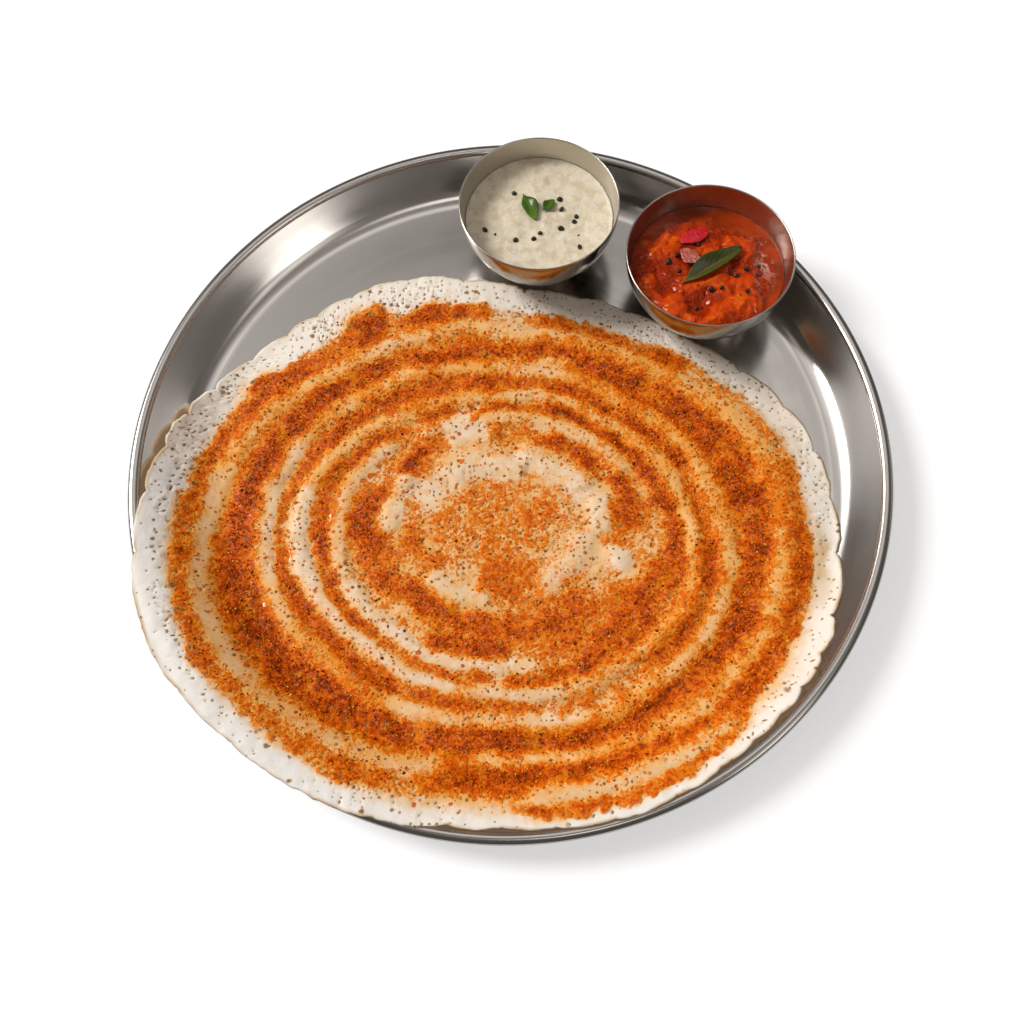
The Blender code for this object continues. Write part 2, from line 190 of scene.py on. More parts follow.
UNDER_RINGS = (.992, .96, .92, .88, .84, .80, .755, .70, .40)  # shares of the radius
STROKE_FADE = 6.0  # degrees over which a stroke starts and ends

# Garnish: leaf tips and widths, seed places, all from the middle of the plate
LARGE_LEAF = ((82.4 * MM, 70.7 * MM), (112.8 * MM, 87.8 * MM), 9.2 * MM)
LEFT_LEAF = ((15.3 * MM, 128.0 * MM), (20.2 * MM, 112.6 * MM), 7.4 * MM)
RIGHT_LEAF = ((23.9 * MM, 117.6 * MM), (30.0 * MM, 123.0 * MM), 5.2 * MM)
LEAF_THICKNESS = 0.5 * MM
SEED_FLATNESS = 0.88  # height over width
# Seeds: place in millimetres and size
COCONUT_SEEDS = np.array((
    (11.2, 129.4, .95), (32.4, 124.1, 1.0), (32.7, 118.4, .95), (39.4, 113.8, .95), (38.2, 111.0, .9),
    (31.7, 107.6, 1.1), (21.8, 105.7, .9), (18.7, 102.9, .85), (10.2, 103.1, .9), (-3.6, 109.7, 1.05),
    (1.0, 107.0, .5), (39.5, 103.5, .4), (39.4, 96.5, .95),
))
TOMATO_SEEDS = np.array((
    (93.0, 100.4, .95), (93.2, 92.0, 1.1), (78.8, 84.0, 1.25), (82.9, 86.7, 1.0), (82.9, 78.4, .9),
    (107.9, 73.8, 1.1), (112.9, 77.1, 1.0), (119.2, 78.9, .9), (117.9, 74.1, .85), (96.1, 67.6, 1.1),
    (100.5, 67.6, .8), (88.5, 59.4, .8), (111.9, 65.3, .9),
))

# Camera of the photograph: place, and its own right, up and back directions
CAMERA_PLACE = Vector((0.000109, -0.20380, 0.44866))
CAMERA_RIGHT = Vector((0.99772211, -0.06254294, -0.02527788))
CAMERA_UP = Vector((0.06745807, 0.92502616, 0.3738663))
CAMERA_BACK = Vector((0.0, -0.37471987, 0.92713808))
CAMERA_LENS = 38.67  # millimetres, for a sensor 36 mm wide

# Lights of the studio: which colour, azimuth from +Y towards +X, elevation, the angles from its
# middle where it starts to fade and where it ends, all in degrees, and its strength
LIGHTS = (
    ("window", -64.0, 40.0, 5.0, 13.0, 30.0), ("window", -63.0, 42.0, 6.0, 26.0, 1.1),
    ("window", -58.0, 64.0, 6.0, 15.0, 0.7), ("window", -15.0, 66.0, 3.0, 16.0, 0.55),
    ("window", 22.0, 63.0, 3.0, 14.0, 0.65), ("window", 45.0, 73.0, 4.0, 16.0, 0.14),
    ("window", -67.0, 15.0, 6.0, 18.0, 0.38), ("lamp", 125.0, 38.0, 4.0, 12.0, 2.4),
    ("lamp", 118.0, 53.0, 4.0, 11.5, 0.8), ("lamp", 102.0, 60.0, 3.0, 10.0, 0.75),
    ("lamp", 155.0, 78.0, 3.0, 8.0, 1.8), ("lamp", 73.0, 20.0, 3.0, 12.0, 0.6),
)
FLOOR_SIDE = 3.0  # metres from the middle to each side


# ---------------------------------------------------------------- settings

def length(name, description, default):
    return FloatProperty(name=name, description=description, default=default, min=0.0,
                         precision=5, subtype="DISTANCE", unit="LENGTH")


def share(name, description, default):
    return FloatProperty(name=name, description=description, default=default, min=0.0, max=1.0,
                         subtype="FACTOR")


def colour(name, description, default):
    return FloatVectorProperty(name=name, description=description, default=default, min=0.0,
                               max=1.0, size=3, subtype="COLOR")


def number(name, description, default, most):
    return IntProperty(name=name, description=description, default=default, min=0, max=most)


class SteelSettings(bpy.types.PropertyGroup):
    plate_radius: length("Plate radius", "Radius over the rolled bead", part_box("plate")[1].x)
    bowl_steel: colour("Bowl steel", "Colour of the brushed bowls", (0.61, 0.58, 0.53))
    coconut_bowl_radius: length("Coconut bowl radius", "Radius of the rim", 36.8 * MM)
    tomato_bowl_radius: length("Tomato bowl radius", "Radius of the rim", 37.6 * MM)
    steel: colour("Steel", "Colour of the polished sheet", (0.63, 0.60, 0.57))
    roughness: share("Roughness", "Roughness between the turning marks", 0.17)
    mark_depth: length("Mark depth", "Depth of the turning marks", 0.003 * MM)
    steps: number("Steps", "Points round the plate", 256, 720)


class DosaSettings(bpy.types.PropertyGroup):
    thickness: length("Thickness", "Thickness inside the rim", 2.4 * MM)
    edge: length("Edge", "Thickness at the edge", 0.7 * MM)
    crest: length("Crest height", "Height of the spiral's ridges", 1.5 * MM)
    podi_coat: length("Podi coat", "Thickness of the spice", 1.0 * MM)
    cells: number("Cells", "Grid cells across the dosa", 296, 400)
    cream: colour("Cream", "Steamed white batter at the rim", (0.88, 0.80, 0.71))
    clean: colour("Clean", "Whitest batter of the left rim", (0.85, 0.82, 0.78))
    pale: colour("Pale", "White batter inside the rim", (0.88, 0.76, 0.63))
    tan: colour("Tan", "Batter with ghee soaked in", (0.84, 0.55, 0.29))
    beige: colour("Beige", "Thin batter in the outer valleys", (0.60, 0.40, 0.17))
    # Pore colours: painted shade that darkens from a pore's lip to its middle; soaked pores are browner than
    # those of the white rim.
    pore_lip: colour("Pore lip", "Where a pore of the rim starts", (0.60, 0.46, 0.30))
    pore: colour("Pore", "Middle of the rim's pores", (0.27, 0.15, 0.062))
    deep_lip: colour("Deep pore lip", "Where a soaked pore starts", (0.50, 0.25, 0.07))
    deep_pore: colour("Deep pore", "Middle of the soaked pores", (0.23, 0.088, 0.018))
    toasted: colour("Toasted edge", "Thin crisp edge", (0.55, 0.38, 0.19))
    # Glow is painted light: emission from the dosa's underside that lifts the shade in the gap between its
    # edge and the bead.
    glow: colour("Glow", "Light that comes down through the thin batter", (0.62, 0.46, 0.33))
    oil_light: colour("Light oil", "Where the spice's oil thins out", (0.85, 0.42, 0.11))
    oil: colour("Oil", "Batter stained by ghee and spice", (0.82, 0.265, 0.02))
    pool: colour("Pool", "Golden ghee over the spice", (0.84, 0.27, 0.008))
    podi_gold: colour("Golden podi", "Light dusting of spice", (0.76, 0.155, 0.004))
    podi_orange: colour("Orange podi", "Middling layer of spice", (0.59, 0.084, 0.001))
    podi_red: colour("Red podi", "Thick drifts of spice", (0.35, 0.036, 0.0005))
    podi_dark: colour("Dark podi", "Hollows in thick drifts", (0.15, 0.019, 0.0004))


class PodiSettings(bpy.types.PropertyGroup):
    grains: number("Grains", "Loose grains of middling colour", 14000, 24900)
    husks: number("Husks", "Bright bits of lentil", 700, 24900)
    smallest: length("Smallest", "Smallest grain", 0.40 * MM)
    largest: length("Largest", "Largest grain", 1.5 * MM)
    dark: colour("Dark grains", "Roasted chilli", (0.20, 0.034, 0.003))
    orange: colour("Orange grains", "Ground chilli and lentil", (0.60, 0.11, 0.003))
    gold: colour("Golden grains", "Roasted lentil", (0.80, 0.24, 0.008))
    husk: colour("Husk", "Bright bits", (0.90, 0.46, 0.10))


class ChutneySettings(bpy.types.PropertyGroup):
    coconut_fill: length("Coconut fill", "Height over the bowl's foot", 23.0 * MM)
    tomato_fill: length("Tomato fill", "Height over the bowl's foot", 22.0 * MM)
    heap: length("Heap", "Height of the tomato paste over its sauce", 3.4 * MM)
    coconut: colour("Coconut", "Ground coconut", (0.78, 0.705, 0.56))
    coconut_shade: colour("Coconut shade", "Soft mottling", (0.56, 0.44, 0.27))
    tomato: colour("Tomato", "Lumps of paste", (0.56, 0.048, 0.001))
    tomato_gold: colour("Golden tomato", "Patches of oil on the lumps", (0.72, 0.15, 0.002))
    # Deep tomato is painted shade for the hollows between the lumps.
    tomato_deep: colour("Deep tomato", "Hollows between the lumps", (0.24, 0.013, 0.0006))
    sauce: colour("Sauce", "Oily sauce round the paste", (0.36, 0.036, 0.004))
    cells: number("Cells", "Grid cells across each chutney", 170, 300)


class GarnishSettings(bpy.types.PropertyGroup):
    leaf: colour("Leaf", "Fried curry leaf", (0.046, 0.056, 0.009))
    # The light leaf colours also give the painted lighter side of each leaf's fold.
    leaf_light: colour("Light leaf", "Paler tip and veins", (0.14, 0.14, 0.022))
    fresh: colour("Fresh leaf", "Green curry leaf", (0.045, 0.105, 0.008))
    fresh_light: colour("Light fresh leaf", "Its paler half", (0.10, 0.185, 0.015))
    midrib: colour("Midrib", "Middle rib of the leaf", (0.20, 0.08, 0.03))
    onion: colour("Onion", "Cooked onion", (0.46, 0.085, 0.060))
    skin: colour("Tomato skin", "Strip of tomato skin", (0.60, 0.008, 0.022))
    seed: colour("Seed", "Popped mustard seed", (0.016, 0.010, 0.005))
    seed_size: length("Seed size", "Diameter of a mustard seed", 2.7 * MM)


class StudioSettings(bpy.types.PropertyGroup):
    floor: colour("Floor", "Pale floor", (0.58, 0.58, 0.58))
    window: colour("Window light", "Soft light from the left and behind", (1.0, 0.985, 0.965))
    lamp: colour("Lamp light", "Soft light from the right and in front", (1.0, 0.97, 0.93))
    room: colour("Room", "Light of the room between them", (0.21, 0.19, 0.175))


class DosaScene(bpy.types.PropertyGroup):
    steel: PointerProperty(type=SteelSettings)
    dosa: PointerProperty(type=DosaSettings)
    podi: PointerProperty(type=PodiSettings)
    chutney: PointerProperty(type=ChutneySettings)
    garnish: PointerProperty(type=GarnishSettings)
    studio: PointerProperty(type=StudioSettings)


# ---------------------------------------------------------------- noise and steps

NOISE_SIDE = 256
NOISE_HEIGHTS = np.random.default_rng(11).random((NOISE_SIDE, NOISE_SIDE))


def smooth_step(low, high, value):
    """0 below low, 1 above high, and an S-shaped rise between."""
    t = np.clip((value - low) / (high - low), 0.0, 1.0)
    return t * t * (3.0 - 2.0 * t)


def between(rise_start, rise_end, fall_start, fall_end, value):
    """An S-shaped rise to 1 and a fall back to 0."""
    return smooth_step(rise_start, rise_end, value) * (1.0 - smooth_step(fall_start, fall_end, value))


def waves(x, y, size, layer):
    """Soft hills between -1 and 1: random heights on a square lattice of the given size, joined
    by a fifth degree blend. The layer shifts the lattice."""
    u, v = x / size + 37.1 * layer, y / size + 17.7 * layer
    column, row = np.floor(u).astype(int), np.floor(v).astype(int)
    s, t = u - column, v - row
    s, t = (w * w * w * (w * (6.0 * w - 15.0) + 10.0) for w in (s, t))
    left, right = column % NOISE_SIDE, (column + 1) % NOISE_SIDE
    low, high = row % NOISE_SIDE, (row + 1) % NOISE_SIDE
    near = NOISE_HEIGHTS[left, low] * (1.0 - s) + NOISE_HEIGHTS[right, low] * s
    far = NOISE_HEIGHTS[left, high] * (1.0 - s) + NOISE_HEIGHTS[right, high] * s
    return 2.0 * (near * (1.0 - t) + far * t) - 1.0


def layered_waves(x, y, size, layer, octaves=4):
    """Sum of waves, each half as wide and half as high as the one before."""
    total = sum(waves(x, y, size / 2 ** step, layer + 3 * step) / 2 ** step for step in range(octaves))
    return total / (2.0 - 0.5 ** (octaves - 1))


def lumps(x, y, size, layer):
    """Rounded lumps that meet in creases, from 0 to 1: one less the squared distance to the
    nearest of the points that are shaken off a square lattice of the given size."""
    u, v = x / size + 53.7 * layer, y / size + 29.3 * layer
    nearest = np.full(np.shape(u), 2.0)
    for across in (-1, 0, 1):
        for along in (-1, 0, 1):
            column, row = np.floor(u).astype(int) + across, np.floor(v).astype(int) + along
            shaken = NOISE_HEIGHTS[column % NOISE_SIDE, row % NOISE_SIDE]
            other = NOISE_HEIGHTS[row % NOISE_SIDE, (column + 97) % NOISE_SIDE]
            nearest = np.minimum(nearest, (column + shaken - u) ** 2 + (row + other - v) ** 2)
    return 1.0 - np.minimum(nearest, 1.0)


# ---------------------------------------------------------------- meshes

def new_piece(name, points, faces, material, attributes=None, replaces=()):
    """Puts points and lists of quads or triangles into a mesh object that rides on the root body.
    An attribute that has values for the first points only is 0 at the others."""
    corners = np.concatenate([part.ravel() for part in faces])
    sides = np.concatenate([np.full(len(part), part.shape[1]) for part in faces])
    mesh = bpy.data.meshes.new(name)
    mesh.vertices.add(len(points))
    mesh.vertices.foreach_set("co", np.ascontiguousarray(points, np.float32).ravel())
    mesh.loops.add(len(corners))
    mesh.loops.foreach_set("vertex_index", corners.astype(np.int32))
    mesh.polygons.add(len(sides))
    mesh.polygons.foreach_set("loop_start", (np.cumsum(sides) - sides).astype(np.int32))
    mesh.update(calc_edges=True)
    mesh.shade_smooth()
    for key, values in (attributes or {}).items():
        layer = mesh.attributes.new(key, "FLOAT", "POINT")
        layer.data.foreach_set("value", np.pad(values, (0, len(points) - len(values))).astype(np.float32))
    mesh.materials.append(material)
    piece = bpy.data.objects.new(name, mesh)
    bpy.context.scene.collection.objects.link(piece)
    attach(piece, "root")
    if replaces:
        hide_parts(*replaces)
    return piece


def band(index):
    """Quads between rows of point numbers that close round."""
    beside = np.roll(index, -1, axis=1)
    return np.stack([index[:-1], index[1:], beside[1:], beside[:-1]], axis=-1).reshape(-1, 4)


def fan(ring, tip):
    """Triangles from a ring of point numbers to one more point."""
    return np.stack([ring, np.full(len(ring), tip), np.roll(ring, -1)], axis=1)


def closed_rows(rows, start, end):
    """Points and faces of a closed skin: rows of points joined side by side and round, from a
    start point to an end point. It faces where row direction times column direction points."""
    points = np.concatenate([[start], rows.reshape(-1, 3), [end]])
    index = np.arange(1, len(points) - 1).reshape(rows.shape[:2])
    ends = np.concatenate([fan(index[0], 0)[:, ::-1], fan(index[-1], len(points) - 1)])
    return points, [band(index), ends]


def turned(profile, steps, at):
    """Surface of revolution: each (radius, height) of the profile swept through a full turn.
    The profile starts and ends on the axis."""
    angle = np.arange(steps) * math.tau / steps
    radius, height = profile[1:-1, 0][:, None], profile[1:-1, 1][:, None]
    rows = np.stack([at[0] + radius * np.cos(angle), at[1] + radius * np.sin(angle),
                     height + 0.0 * angle], axis=-1)
    return closed_rows(rows, (*at, profile[0, 1]), (*at, profile[-1, 1]))


def folded_disc(cells):
    """Angle and share of the radius of a square grid folded onto a disc: the share is the larger
    of a point's two coordinates, and the angle runs evenly along the square's sides."""
    line = np.linspace(-1.0, 1.0, cells + 1)
    a, b = np.meshgrid(line, line, indexing="ij")
    wide = np.abs(a) >= np.abs(b)
    over_a = np.divide(b, a, out=np.zeros_like(a), where=a != 0.0)
    over_b = np.divide(a, b, out=np.zeros_like(a), where=b != 0.0)
    angle = np.where(wide, math.pi / 4.0 * over_a + np.where(a < 0.0, math.pi, 0.0),
                     math.pi / 2.0 - math.pi / 4.0 * over_b + np.where(b < 0.0, math.pi, 0.0))
    return (angle % math.tau).ravel(), np.maximum(np.abs(a), np.abs(b)).ravel()


def disc_rim(cells):
    """Numbers of the folded grid's outer points, anticlockwise."""
    wide, along = cells + 1, np.arange(cells)
    return np.concatenate([cells * wide + along, (cells - along) * wide + cells,
                           cells - along, along * wide])


def closed_disc(cells, top, rings, tip):
    """Points and faces of a closed skin: the folded grid, the rings that carry on from its rim
    underneath, and the fan to one last point."""
    points = np.concatenate([top, *rings, [tip]])
    wide = cells + 1
    corner = (np.arange(cells)[:, None] * wide + np.arange(cells)).ravel()
    quads = np.stack([corner, corner + wide, corner + wide + 1, corner + 1], axis=1)
    below = np.arange(wide * wide, len(points) - 1).reshape(len(rings), -1)
    index = np.concatenate([disc_rim(cells)[None], below])
    return points, [quads, band(index), fan(index[-1], len(points) - 1)]


def copied(shape, faces, places):
    """Many copies of one closed shape in one mesh: shape holds each copy's points, or one set."""
    points = shape + places[:, None, :]
    shift = np.arange(len(places))[:, None, None] * points.shape[1]
    return points.reshape(-1, 3), [(faces[None] + shift).reshape(-1, faces.shape[1])]


# ---------------------------------------------------------------- shader nodes

class Value:
    """A node's output, for use in formulas: each sum, product or power adds a Math node."""

    def __init__(self, tree, socket):
        self.tree, self.socket = tree, socket

    def __add__(self, other):
        return maths("ADD", self, other)

    def __sub__(self, other):
        return maths("SUBTRACT", self, other)

    def __rsub__(self, other):
        return maths("SUBTRACT", other, self)

    def __mul__(self, other):
        return maths("MULTIPLY", self, other)

    def __truediv__(self, other):
        return maths("DIVIDE", self, other)

    def __rtruediv__(self, other):
        return maths("DIVIDE", other, self)

    def __pow__(self, other):
        return maths("POWER", self, other)

    def __abs__(self):
        return maths("ABSOLUTE", self)


def add_node(tree, kind, sockets=None, **options):
    """Adds a node, sets its options, and gives each named socket a value or joins an output to it."""
    node = tree.nodes.new(kind)
    for option, value in options.items():
        setattr(node, option, value)
    for socket, value in (sockets or {}).items():
        if isinstance(value, Value):
            tree.links.new(value.socket, node.inputs[socket])
        else:
            node.inputs[socket].default_value = value
    return node


def output(tree, kind, which, sockets=None, **options):
    """One output of a new node."""
    return Value(tree, add_node(tree, kind, sockets, **options).outputs[which])


def maths(operation, *values):
    """Result of a Math node for numbers and outputs."""
    tree = next(value.tree for value in values if isinstance(value, Value))
    return output(tree, "ShaderNodeMath", 0, dict(enumerate(values)), operation=operation)


def vector(operation, first, second=(0.0, 0.0, 0.0), result="Vector"):
    """Result of a Vector Math node for vectors and outputs."""
    tree = (first if isinstance(first, Value) else second).tree
    sockets = {0: first, "Scale" if operation == "SCALE" else 1: second}
    return output(tree, "ShaderNodeVectorMath", result, sockets, operation=operation)


def mixed(factor, first, second):
    """Colour between two colours, each of them fixed or an output."""
    first, second = (tone if isinstance(tone, Value) else (*tone, 1.0) for tone in (first, second))
    return output(factor.tree, "ShaderNodeMix", 2, {0: factor, 6: first, 7: second}, data_type="RGBA")


def shade(tone, by):
    """A fixed colour made darker or lighter by a factor."""
    return [min(by * part, 1.0) for part in tone]


def rise(value, low, high, to_low=0.0, to_high=1.0):
    """S-shaped change from to_low to to_high as value goes from low to high."""
    sockets = {"Value": value, "From Min": low, "From Max": high, "To Min": to_low, "To Max": to_high}
    return output(value.tree, "ShaderNodeMapRange", 0, sockets, interpolation_type="SMOOTHSTEP")


def noise(place, size, detail=2.0, roughness=0.5):
    """Noise whose features are about size across, in metres."""
    sockets = {"Vector": place, "Scale": 1.0 / size, "Detail": detail, "Roughness": roughness}
    return output(place.tree, "ShaderNodeTexNoise", "Fac", sockets)


def cells_of(place, size, **soft):
    """Cells of about a given size, with soft sides for a Smoothness: how far a point is from its
    cell's middle, and the cell's own three random numbers."""
    cell = add_node(place.tree, "ShaderNodeTexVoronoi", {"Vector": place, "Scale": 1.0 / size, **soft},
                    voronoi_dimensions="2D", feature="SMOOTH_F1" if soft else "F1")
    draws = add_node(place.tree, "ShaderNodeSeparateColor", {0: Value(place.tree, cell.outputs["Color"])})
    return Value(place.tree, cell.outputs["Distance"]), [Value(place.tree, draw) for draw in draws.outputs]


def painted(material, name):
    """Value that a mesh attribute gives at each point."""
    return output(material.node_tree, "ShaderNodeAttribute", "Fac", attribute_name=name)


def bumped(height, distance):
    """Normal of a surface with bumps: a height of 1 stands out by the distance."""
    return output(height.tree, "ShaderNodeBump", 0, {"Height": height, "Distance": distance})


def new_material(name, **constants):
    """A Principled material with the values that are the same all over its surface, and the
    output that tells where on its object a point lies."""
    material = bpy.data.materials.new(name)
    material.use_nodes = True
    shader = material.node_tree.nodes["Principled BSDF"]
    for socket, value in constants.items():
        shader.inputs[socket.replace("_", " ")].default_value = value
    return material, output(material.node_tree, "ShaderNodeTexCoord", "Object")


def join(material, **values):
    """The material, with outputs joined to its shader's sockets."""
    shader = material.node_tree.nodes["Principled BSDF"]
    for socket, value in values.items():
        material.node_tree.links.new(value.socket, shader.inputs[socket.replace("_", " ")])
    return material


def effect(recipe, place, **numbers):
    """Outputs of a shared node group, with this place and these numbers at its inputs. The group is
    called what its recipe is called, and its sockets what the recipe takes and returns. The recipe
    builds it the first time."""
    name = recipe.__name__.replace("_", " ").capitalize()
    taken = {"Place": place, **{key.capitalize(): value for key, value in numbers.items()}}
    group = bpy.data.node_groups.get(name)
    if not group:
        group = bpy.data.node_groups.new(name, "ShaderNodeTree")
        for label in taken:
            kind = "NodeSocketVector" if label == "Place" else "NodeSocketFloat"
            group.interface.new_socket(label, in_out="INPUT", socket_type=kind)
        start = group.nodes.new("NodeGroupInput")
        results = recipe(**{label.lower(): Value(group, start.outputs[label]) for label in taken})
        for label in results:
            group.interface.new_socket(label, in_out="OUTPUT", socket_type="NodeSocketFloat")
        end = group.nodes.new("NodeGroupOutput")
        for label, result in results.items():
            group.links.new(result.socket, end.inputs[label])
    node = add_node(place.tree, "ShaderNodeGroup", taken, node_tree=group)
    return [Value(place.tree, node.outputs[label]) for label in node.outputs.keys()]


def turning_marks(place, size):
    """Fine rings left by turning: noise on the distance from the axis, stronger in broad bands."""
    radius = vector("LENGTH", vector("MULTIPLY", place, (1.0, 1.0, 0.0)), result="Value")
    rings, bands = (output(place.tree, "ShaderNodeTexNoise", "Fac",
                           {"W": across, "Scale": scale, "Detail": detail}, noise_dimensions="1D")
                    for across, scale, detail in ((radius / size, 1.0, 2.0), (radius, 90.0, 3.0)))
    return {"Height": rings, "Wear": bands * noise(place, 0.03, 3.0)}


def fine_grain(place, size):
    """Fine speckle at a given size, with a soft patchiness ten times as wide."""
    speckle, patches = (output(place.tree, "ShaderNodeTexNoise", "Fac",
                               {"Vector": place, "Scale": part / size, "Detail": detail})
                        for part, detail in ((1.0, 2.0), (0.1, 3.0)))
    return {"Speckle": rise(speckle, 0.35, 0.65), "Patches": rise(patches, 0.35, 0.65),
            "Height": speckle * 0.5 + patches * 0.5}


def pinholes(place, size, density):
    """Round holes of mixed size, one to a cell of the given size, where the cell's own random
    number is under the density. Gives how far into a hole each point is."""
    push = output(place.tree, "ShaderNodeTexNoise", "Color", {"Vector": place, "Scale": 2.0 / size})
    pushed = vector("ADD", place, vector("SCALE", push, size * 0.35))
    distance, (chosen, width, strength) = cells_of(pushed, size)
    inside = rise(distance / (width ** 2.0 * 0.24 + 0.10), 1.4, 0.3)
    return {"Depth": maths("LESS_THAN", chosen, density) * (inside * rise(strength, 0.0, 0.8, 0.45, 1.0))}


# ---------------------------------------------------------------- steel

def plate_surface(radius):
    """Height of the plate's upper face: flat, then a circular fillet, then a 45 degree wall."""
    fillet_width = PLATE_FILLET * math.sin(PLATE_FILLET_ANGLE)
    along = np.clip(radius - PLATE_FLOOR_RADIUS, 0.0, fillet_width)
    fillet = PLATE_FILLET - np.sqrt(PLATE_FILLET ** 2 - along ** 2)
    wall = np.maximum(radius - PLATE_FLOOR_RADIUS - fillet_width, 0.0) * math.tan(PLATE_FILLET_ANGLE)
    return PLATE_SHEET + np.minimum(fillet + wall, BEAD_HEIGHT + BEAD_RADIUS - PLATE_SHEET)


def arc(centre, radius, start, end, count):
    """Points on a circular arc of a profile, angles in degrees from the outward direction."""
    angle = np.radians(np.linspace(start, end, count))
    return np.stack([centre[0] + radius * np.cos(angle), centre[1] + radius * np.sin(angle)], axis=1)


def plate_profile(radius):
    """Floor, fillet, straight wall and flattened rolled bead, and the same on the underside."""
    axis = (PLATE_FLOOR_RADIUS, PLATE_SHEET + PLATE_FILLET)
    floor = np.stack([np.linspace(0.0, PLATE_FLOOR_RADIUS, 9)[:-1], np.full(8, PLATE_SHEET)], axis=1)
    inner = arc(axis, PLATE_FILLET, -90.0, -45.0, 12)
    bead = arc((0.0, 0.0), BEAD_RADIUS, 221.0, -112.0, 30) * (BEAD_FLATNESS, 1.0)
    bead = bead + (radius - BEAD_FLATNESS * BEAD_RADIUS, BEAD_HEIGHT)
    wall = np.linspace(inner[-1], bead[0], 6)[1:-1]
    outer = arc(axis, PLATE_FILLET + PLATE_SHEET, -45.0, -90.0, 10)
    back = np.linspace(bead[-1], outer[0], 6)[1:-1]
    return np.concatenate([floor, inner, wall, bead, back, outer, [(0.0, 0.0)]])


def ellipse_point(rim_radius, angle, inset):
    """Points of a bowl's side, angle counted from its lowest point, moved inwards by inset: a
    quarter ellipse cut off flat where it is as wide as the foot."""
    depth = BOWL_HEIGHT / math.cos(math.asin(BOWL_FOOT / rim_radius))
    across, down = depth * np.sin(angle), rim_radius * np.cos(angle)
    span = np.hypot(across, down)
    return (rim_radius * np.sin(angle) - inset * across / span,
            BOWL_HEIGHT - depth * np.cos(angle) + inset * down / span)


def bowl_profile(rim_radius):
    """Inner side from the middle up to a rounded lip, and down the outer side to the flat foot."""
    angles = np.linspace(math.asin(BOWL_FOOT / rim_radius), math.pi / 2.0, 26)
    inner = np.stack(ellipse_point(rim_radius, angles[:-1], BOWL_SHEET), axis=1)
    outer = np.stack(ellipse_point(rim_radius, angles[-2::-1], 0.0), axis=1)
    half = 0.5 * BOWL_SHEET
    lip = arc((rim_radius - half, BOWL_HEIGHT - half), half, 180.0, 0.0, 9)
    profile = np.concatenate([[(0.0, inner[0, 1])], inner, lip, outer, [(0.0, 0.0)]])
    return profile + (0.0, BOWL_BOTTOM)


def steel_material(name, at, steel, base, mark_depth):
    """Polished sheet: turning marks round the piece's own axis, with soft smears of wear. Steel
    is its colour, with painted shade on the outer side that dims its reflections there, and base
    the roughness between the marks."""
    material, place = new_material(name, Metallic=1.0, Anisotropic=0.55)
    centred = output(place.tree, "ShaderNodeMapping", 0,
                     {"Vector": place, "Location": (-at[0], -at[1], 0.0)})
    marks, wear = effect(turning_marks, centred, size=0.0005)
    outside = painted(material, "outside")
    tone = mixed(rise(wear, 0.15, 0.40), shade(steel, 0.94), steel)
    rough = rise(wear, 0.12, 0.42, base + 0.05, base - 0.03) * rise(outside, 0.0, 1.0, 1.0, 0.62)
    # The outer side gets painted shade: darker steel that dims what it reflects.
    return join(material, Base_Color=mixed(outside, tone, shade(steel, 0.56)), Roughness=rough,
                Normal=bumped(marks, mark_depth),
                Tangent=output(place.tree, "ShaderNodeTangent", 0, direction_type="RADIAL", axis="Z"))


def turn_steel(name, node, profile, steps, at, outer_side, settings, steel, base):
    """Turns a steel piece about its axis. Its outer side begins between two points of its profile."""
    points, faces = turned(profile, steps, at)
    # outside is 1 on the outer side, where the steel gets painted shade and less roughness.
    outside = smooth_step(*outer_side, np.arange(len(profile)))
    outside = np.concatenate([outside[:1], np.repeat(outside[1:-1], steps), outside[-1:]])
    material = steel_material(node + " steel", at, steel, base, settings.mark_depth)
    piece = new_piece(name, points, faces, material, {"outside": outside}, (node,))
    piece.data.set_sharp_from_angle(angle=SHARP_EDGE)


class DOSA_OT_make_plate(bpy.types.Operator):
    """Turn the steel plate with its sloping wall and rolled bead"""
    bl_idname = "podi_dosa.make_plate"
    bl_label = "Make Plate"

    def execute(self, context):
        settings = context.scene.podi_dosa.steel
        turn_steel("steel_plate", "plate", plate_profile(settings.plate_radius), settings.steps, (0.0, 0.0),
                   (33.0, 39.0), settings, settings.steel, settings.roughness)
        return {"FINISHED"}


class DOSA_OT_make_bowls(bpy.types.Operator):
    """Turn the two steel bowls that stand on the plate"""
    bl_idname = "podi_dosa.make_bowls"
    bl_label = "Make Bowls"

    def execute(self, context):
        settings = context.scene.podi_dosa.steel
        for name, node, at, radius in (
                ("coconut_steel_bowl", "coconut_bowl", COCONUT_BOWL_AT, settings.coconut_bowl_radius),
                ("tomato_steel_bowl", "tomato_bowl", TOMATO_BOWL_AT, settings.tomato_bowl_radius)):
            turn_steel(name, node, bowl_profile(radius), settings.steps // 2, at, (27.0, 34.0), settings,
                       settings.bowl_steel, settings.roughness + 0.10)
        return {"FINISHED"}


# ---------------------------------------------------------------- dosa

def strokes(rows, angle, part, wider=1.0):
    """Union of curved strokes. A stroke's middle line is a parabola of the radius share over its
    angles, its sides fall off in an S from 0.3 to 1.7 half widths, widened by a factor, and its ends
    fade."""
    clear = np.ones_like(part)
    for first, last, at_start, at_middle, at_end, half_width, strength in rows:
        half = 0.5 * (last - first)
        away = (angle - first - half + 180.0) % 360.0 - 180.0
        along = away / half
        line = at_middle + 0.5 * (at_end - at_start) * along
        line = line + (0.5 * (at_start + at_end) - at_middle) * along ** 2
        ends = smooth_step(0.0, STROKE_FADE, half + 0.5 * STROKE_FADE - np.abs(away))
        sides = 1.0 - smooth_step(0.3, 1.7, np.abs(part - line) / (wider * half_width))
        clear = clear * (1.0 - strength * ends * sides)
    return 1.0 - clear


